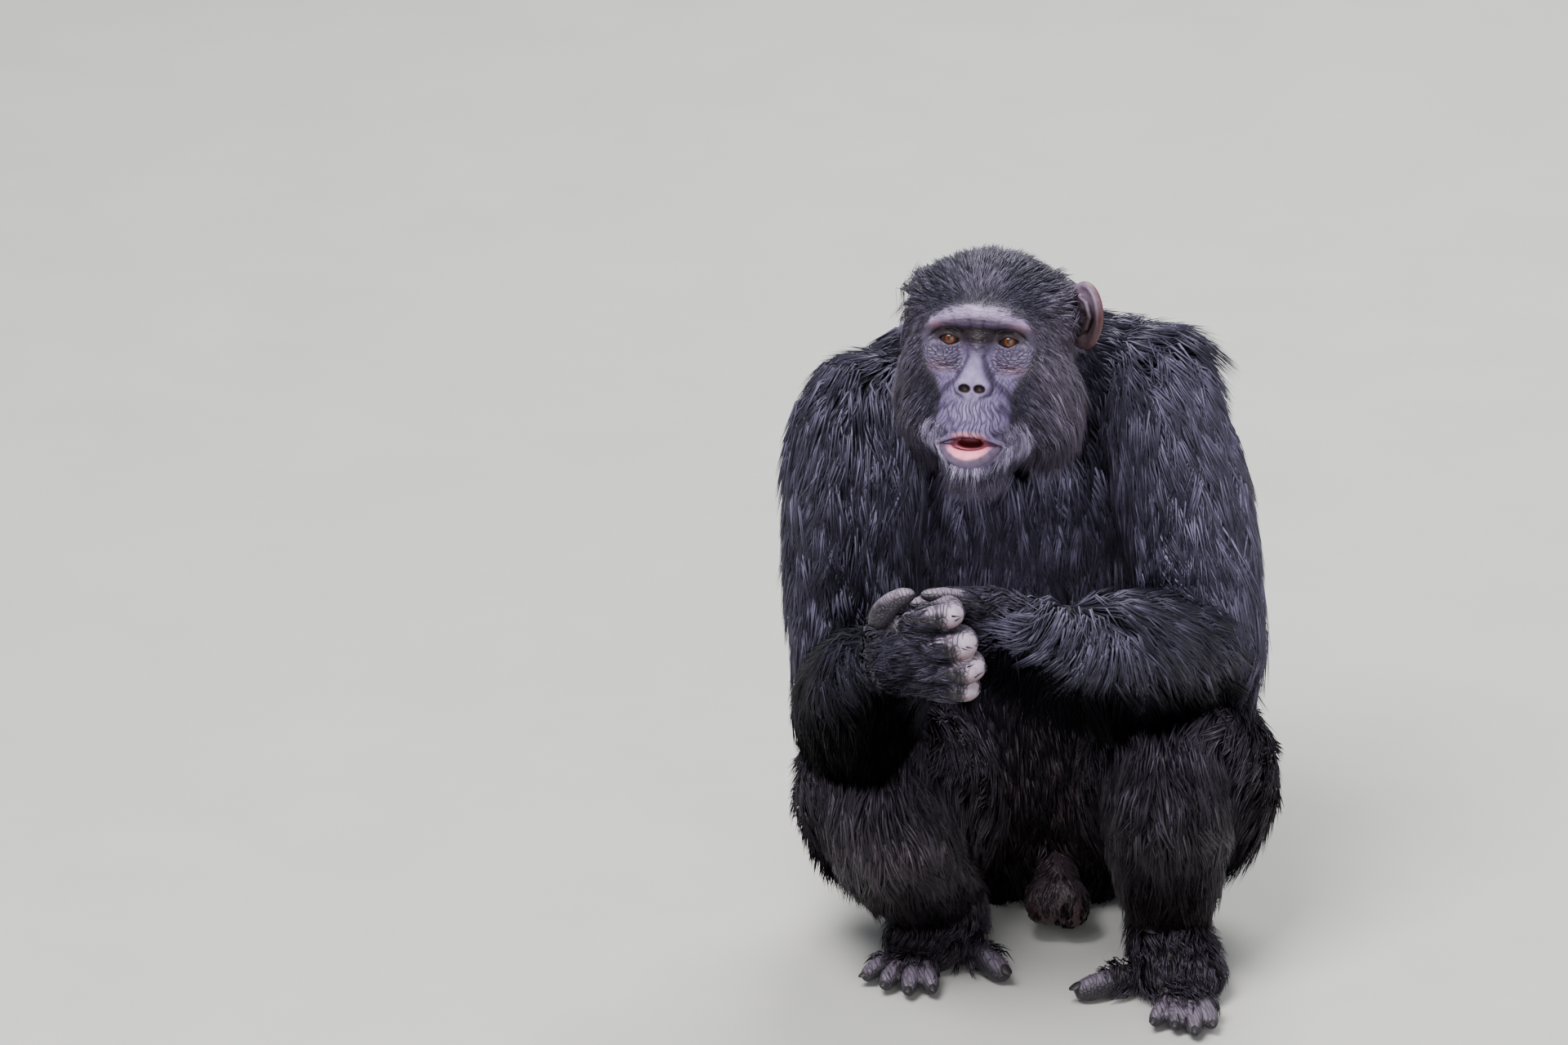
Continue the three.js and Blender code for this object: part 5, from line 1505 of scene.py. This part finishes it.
# The coat of the body.
# Coarse straight hair, near black with a blue-grey shine, browner on the legs and lower sides.
# It lies down the back and chest, down the upper arms and, on the forearms, from a whorl both ways.
fb = grounds["body"]
owner, depth, height = fb["owner"], fb["points"][:, 1], fb["points"][:, 2]
trunk_angle = limbs["trunk"].locate(fb["points"])[1]
trunk = owner == "trunk"
back = np.sin(trunk_angle) < -0.05
if depth[trunk & back].mean() < depth[trunk & ~back].mean():
    back = ~back
coat("coat_chest", fb, trunk & ~back & (height > 330), 11500, 11)
coat("coat_belly", fb, trunk & ~back & (height < 345), 7500, 12)
coat("coat_back", fb, trunk & back & (height > 290), 10000, 13)
coat("coat_rump", fb, trunk & back & (height < 305), 6400, 14)
coat("coat_shoulders", fb, owner == "yoke", 9000, 15)
coat("coat_neck", fb, owner == "neck", 4500, 16)
for number, side in enumerate(("left", "right")):
    coat(f"coat_upper_arm_{side}", fb, owner == f"upper_arm_{side}", 8500, 20 + number)
    coat(f"coat_forearm_{side}", fb, owner == f"forearm_{side}", 8500, 22 + number)
    coat(f"coat_thigh_{side}", fb, owner == f"thigh_{side}", 8000, 24 + number)
    coat(f"coat_shin_{side}", fb, owner == f"shin_{side}", 5500, 26 + number)


# The coat of the hands and feet.
# Short hair over the backs of the hands and the insteps. It thins out before the digits, whose skin
# is bare, and on the feet it stops above the soles.
for number, name in enumerate(("hand_right_skin", "hand_left_skin", "foot_left_skin", "foot_right_skin")):
    f = grounds[name]
    coat("coat_" + name.replace("_skin", ""), f, f["dense"] > 0.03, 2400, 30 + number, pull=0.45)


# The hair of the head.
# It springs back from a spot over the brow, stands off the crown, and hangs from the temples and
# cheeks in long whiskers with lighter tips. On the chin and beside the mouth it is short and white.
fh = grounds["head_skin"]
h = fh["head"]
front = h[:, 1] < 62
lower = 12 * fh["low_side"]
aside = np.abs(h[:, 0])
rim = smooth_step(-12, -2, fh["gap"]) * smooth_step(20 + lower, 6 + lower, fh["gap"])
rim = rim * smooth_step(-68, -92, h[:, 2]) * smooth_step(26 + lower, 8 + lower, h[:, 1])
rim = rim * (1 - smooth_step(31, 25, aside) * smooth_step(-113, -109, h[:, 2]))
beard = smooth_step(-2, 16, fh["gap"])
chin = smooth_step(-100, -114, h[:, 2])
middle = smooth_step(26, 14, aside)
white = dict(fh, dense=rim * (1 + 0.8 * chin * (1 - 1.5 * middle)), wide=np.full(len(h), 0.45))
white.update(long=14 + 12 * beard + 12 * chin, tall=3 + 7 * beard)
white.update(hair=np.tile(WHITE * 0.75, (len(h), 1)), tip=np.tile(WHITE * 1.6, (len(h), 1)))
white["droop"] = 0.15 + 0.35 * chin
coat("coat_muzzle", white, rim > 0.02, 4000, 42, clump=4, pull=0.3, stray=0.14)
coat("coat_head_front", fh, front, 17500, 40, clump=6, pull=0.45, stray=0.05, locks=0.09)
coat("coat_head_back", fh, h[:, 1] > 58, 9000, 41, clump=6, pull=0.45, stray=0.06, locks=0.12)


# The nails.
# Each toe has one thin, dark, curved plate of horn, laid on the upper side of its end and sunk a
# little into it. All ten are one piece.
def nail_form(line, radius):
    """A nail for the toe that ends with this line, scaled by a radius."""
    before, end = np.array(line[-2], float), np.array(line[-1], float)
    forward = unit((end - before) * np.array([1, 1, 0]))
    normal = unit(forward * 0.5 + np.array([0, 0, 0.87]))
    across = np.cross(forward, [0, 0, 1.0])
    nail = round_form("nail", segments=20, rings=12)
    plate = places_of(nail) * np.array([0.5, 0.62, 0.13]) * radius
    plate[:, 2] -= 0.5 * plate[:, 0] ** 2 / radius
    plate = plate @ np.stack([across, np.cross(normal, across), normal])
    move_points(nail, set_in(plate + end - forward * radius * 0.35 + normal * radius * 0.8))
    return nail


nails = []
for side in ("left", "right"):
    nails += [nail_form(toe_line(side, x, y), 7.8) for x, y in TOE_TIPS[side]]
    nails.append(nail_form(big_toe_line(side), 11))
only(*nails)
bpy.ops.object.join()
nails = bpy.context.object
nails.name = "nails"
bpy.ops.object.shade_smooth()
nail_material, nodes, links, shader = principled("nail", 0.5, 0.3)
streaks = noise_at(nodes, links, object_place(nodes), 420)
horn = plain_colour(nodes, (0.022, 0.018, 0.021))
links.new(mixed_by(nodes, links, horn, streaks, 0.7, 1.4), shader.inputs["Base Color"])
nails.data.materials.append(nail_material)
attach(nails, "root")


# The eyes.
# Each is a moist ball with an orange-brown iris, a dark pupil and a dark white, under thick lids.
GAZE = unit(np.array([-0.02, -0.94, 0.34]))
EYE_WHITE, PUPIL = ((0.84, (0.018, 0.010, 0.009, 1)), (0.991, (0.004, 0.003, 0.003, 1)))
IRIS = (
    (0.880, (0.009, 0.004, 0.003, 1)),
    (0.900, (0.05, 0.011, 0.003, 1)),
    (0.950, (0.105, 0.027, 0.007, 1)),
    (0.982, (0.055, 0.014, 0.004, 1)),
)
for name in ("eye_left", "eye_right"):
    middle = Vector((node_middle(name) * MM).tolist())
    only_nothing()
    bpy.ops.mesh.primitive_uv_sphere_add(segments=64, ring_count=40, radius=EYE_RADIUS * MM, location=middle)
    ball = bpy.context.object
    ball.name = name + "_ball"
    bpy.ops.object.transform_apply(location=True, rotation=True, scale=True)
    bpy.ops.object.shade_smooth()
    material, nodes, links, shader = principled(name + "_surface", 0.14, 0.4)
    place = object_place(nodes)
    offset = nodes.new("ShaderNodeVectorMath")
    offset.operation = "SUBTRACT"
    offset.inputs[1].default_value = middle
    links.new(place, offset.inputs[0])
    facing = nodes.new("ShaderNodeVectorMath")
    facing.operation = "DOT_PRODUCT"
    facing.inputs[1].default_value = tuple(GAZE / (EYE_RADIUS * MM))
    links.new(offset.outputs["Vector"], facing.inputs[0])
    rings = nodes.new("ShaderNodeValToRGB")
    for stop, (position, colour) in zip(rings.color_ramp.elements, (EYE_WHITE, PUPIL)):
        stop.position = position
        stop.color = colour
    for position, colour in IRIS:
        stop = rings.color_ramp.elements.new(position)
        stop.color = colour
    links.new(facing.outputs["Value"], rings.inputs["Fac"])
    streaks = noise_at(nodes, links, place, 900)
    links.new(mixed_by(nodes, links, rings.outputs["Color"], streaks, 0.7, 1.3), shader.inputs["Base Color"])
    ball.data.materials.append(material)
    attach(ball, "root")
    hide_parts(name)


# The floor and the light.
# A plain pale floor, a soft key light high on the left and a weaker one on the right.
only_nothing()
bpy.ops.mesh.primitive_plane_add(size=14)
floor = bpy.context.object
floor.name = "floor"
material, nodes, links, shader = principled("floor", 0.75, 0.3)
grain = noise_at(nodes, links, object_place(nodes), 6)
pale = plain_colour(nodes, (0.52, 0.51, 0.49))
links.new(mixed_by(nodes, links, pale, grain, 0.97, 1.03), shader.inputs["Base Color"])
floor.data.materials.append(material)

AIM = Vector((0, -0.05, 0.42))
for name, spot, size, power in (
    ("key", (-1.3, -2.5, 4.6), 2.2, 440),
    ("fill", (0.8, -5.0, 2.0), 3.0, 118),
    ("back", (0.9, 2.8, 3.6), 2.5, 230),
):
    light = bpy.data.lights.new(name, "AREA")
    light.size = size
    light.energy = power
    lamp = bpy.data.objects.new(name, light)
    lamp.location = spot
    lamp.rotation_euler = (AIM - Vector(spot)).to_track_quat("-Z", "Y").to_euler()
    bpy.context.scene.collection.objects.link(lamp)
world = bpy.data.worlds.new("daylight")
world.use_nodes = True
world.node_tree.nodes["Background"].inputs["Color"].default_value = (0.80, 0.86, 0.93, 1)
world.node_tree.nodes["Background"].inputs["Strength"].default_value = 0.42
bpy.context.scene.world = world
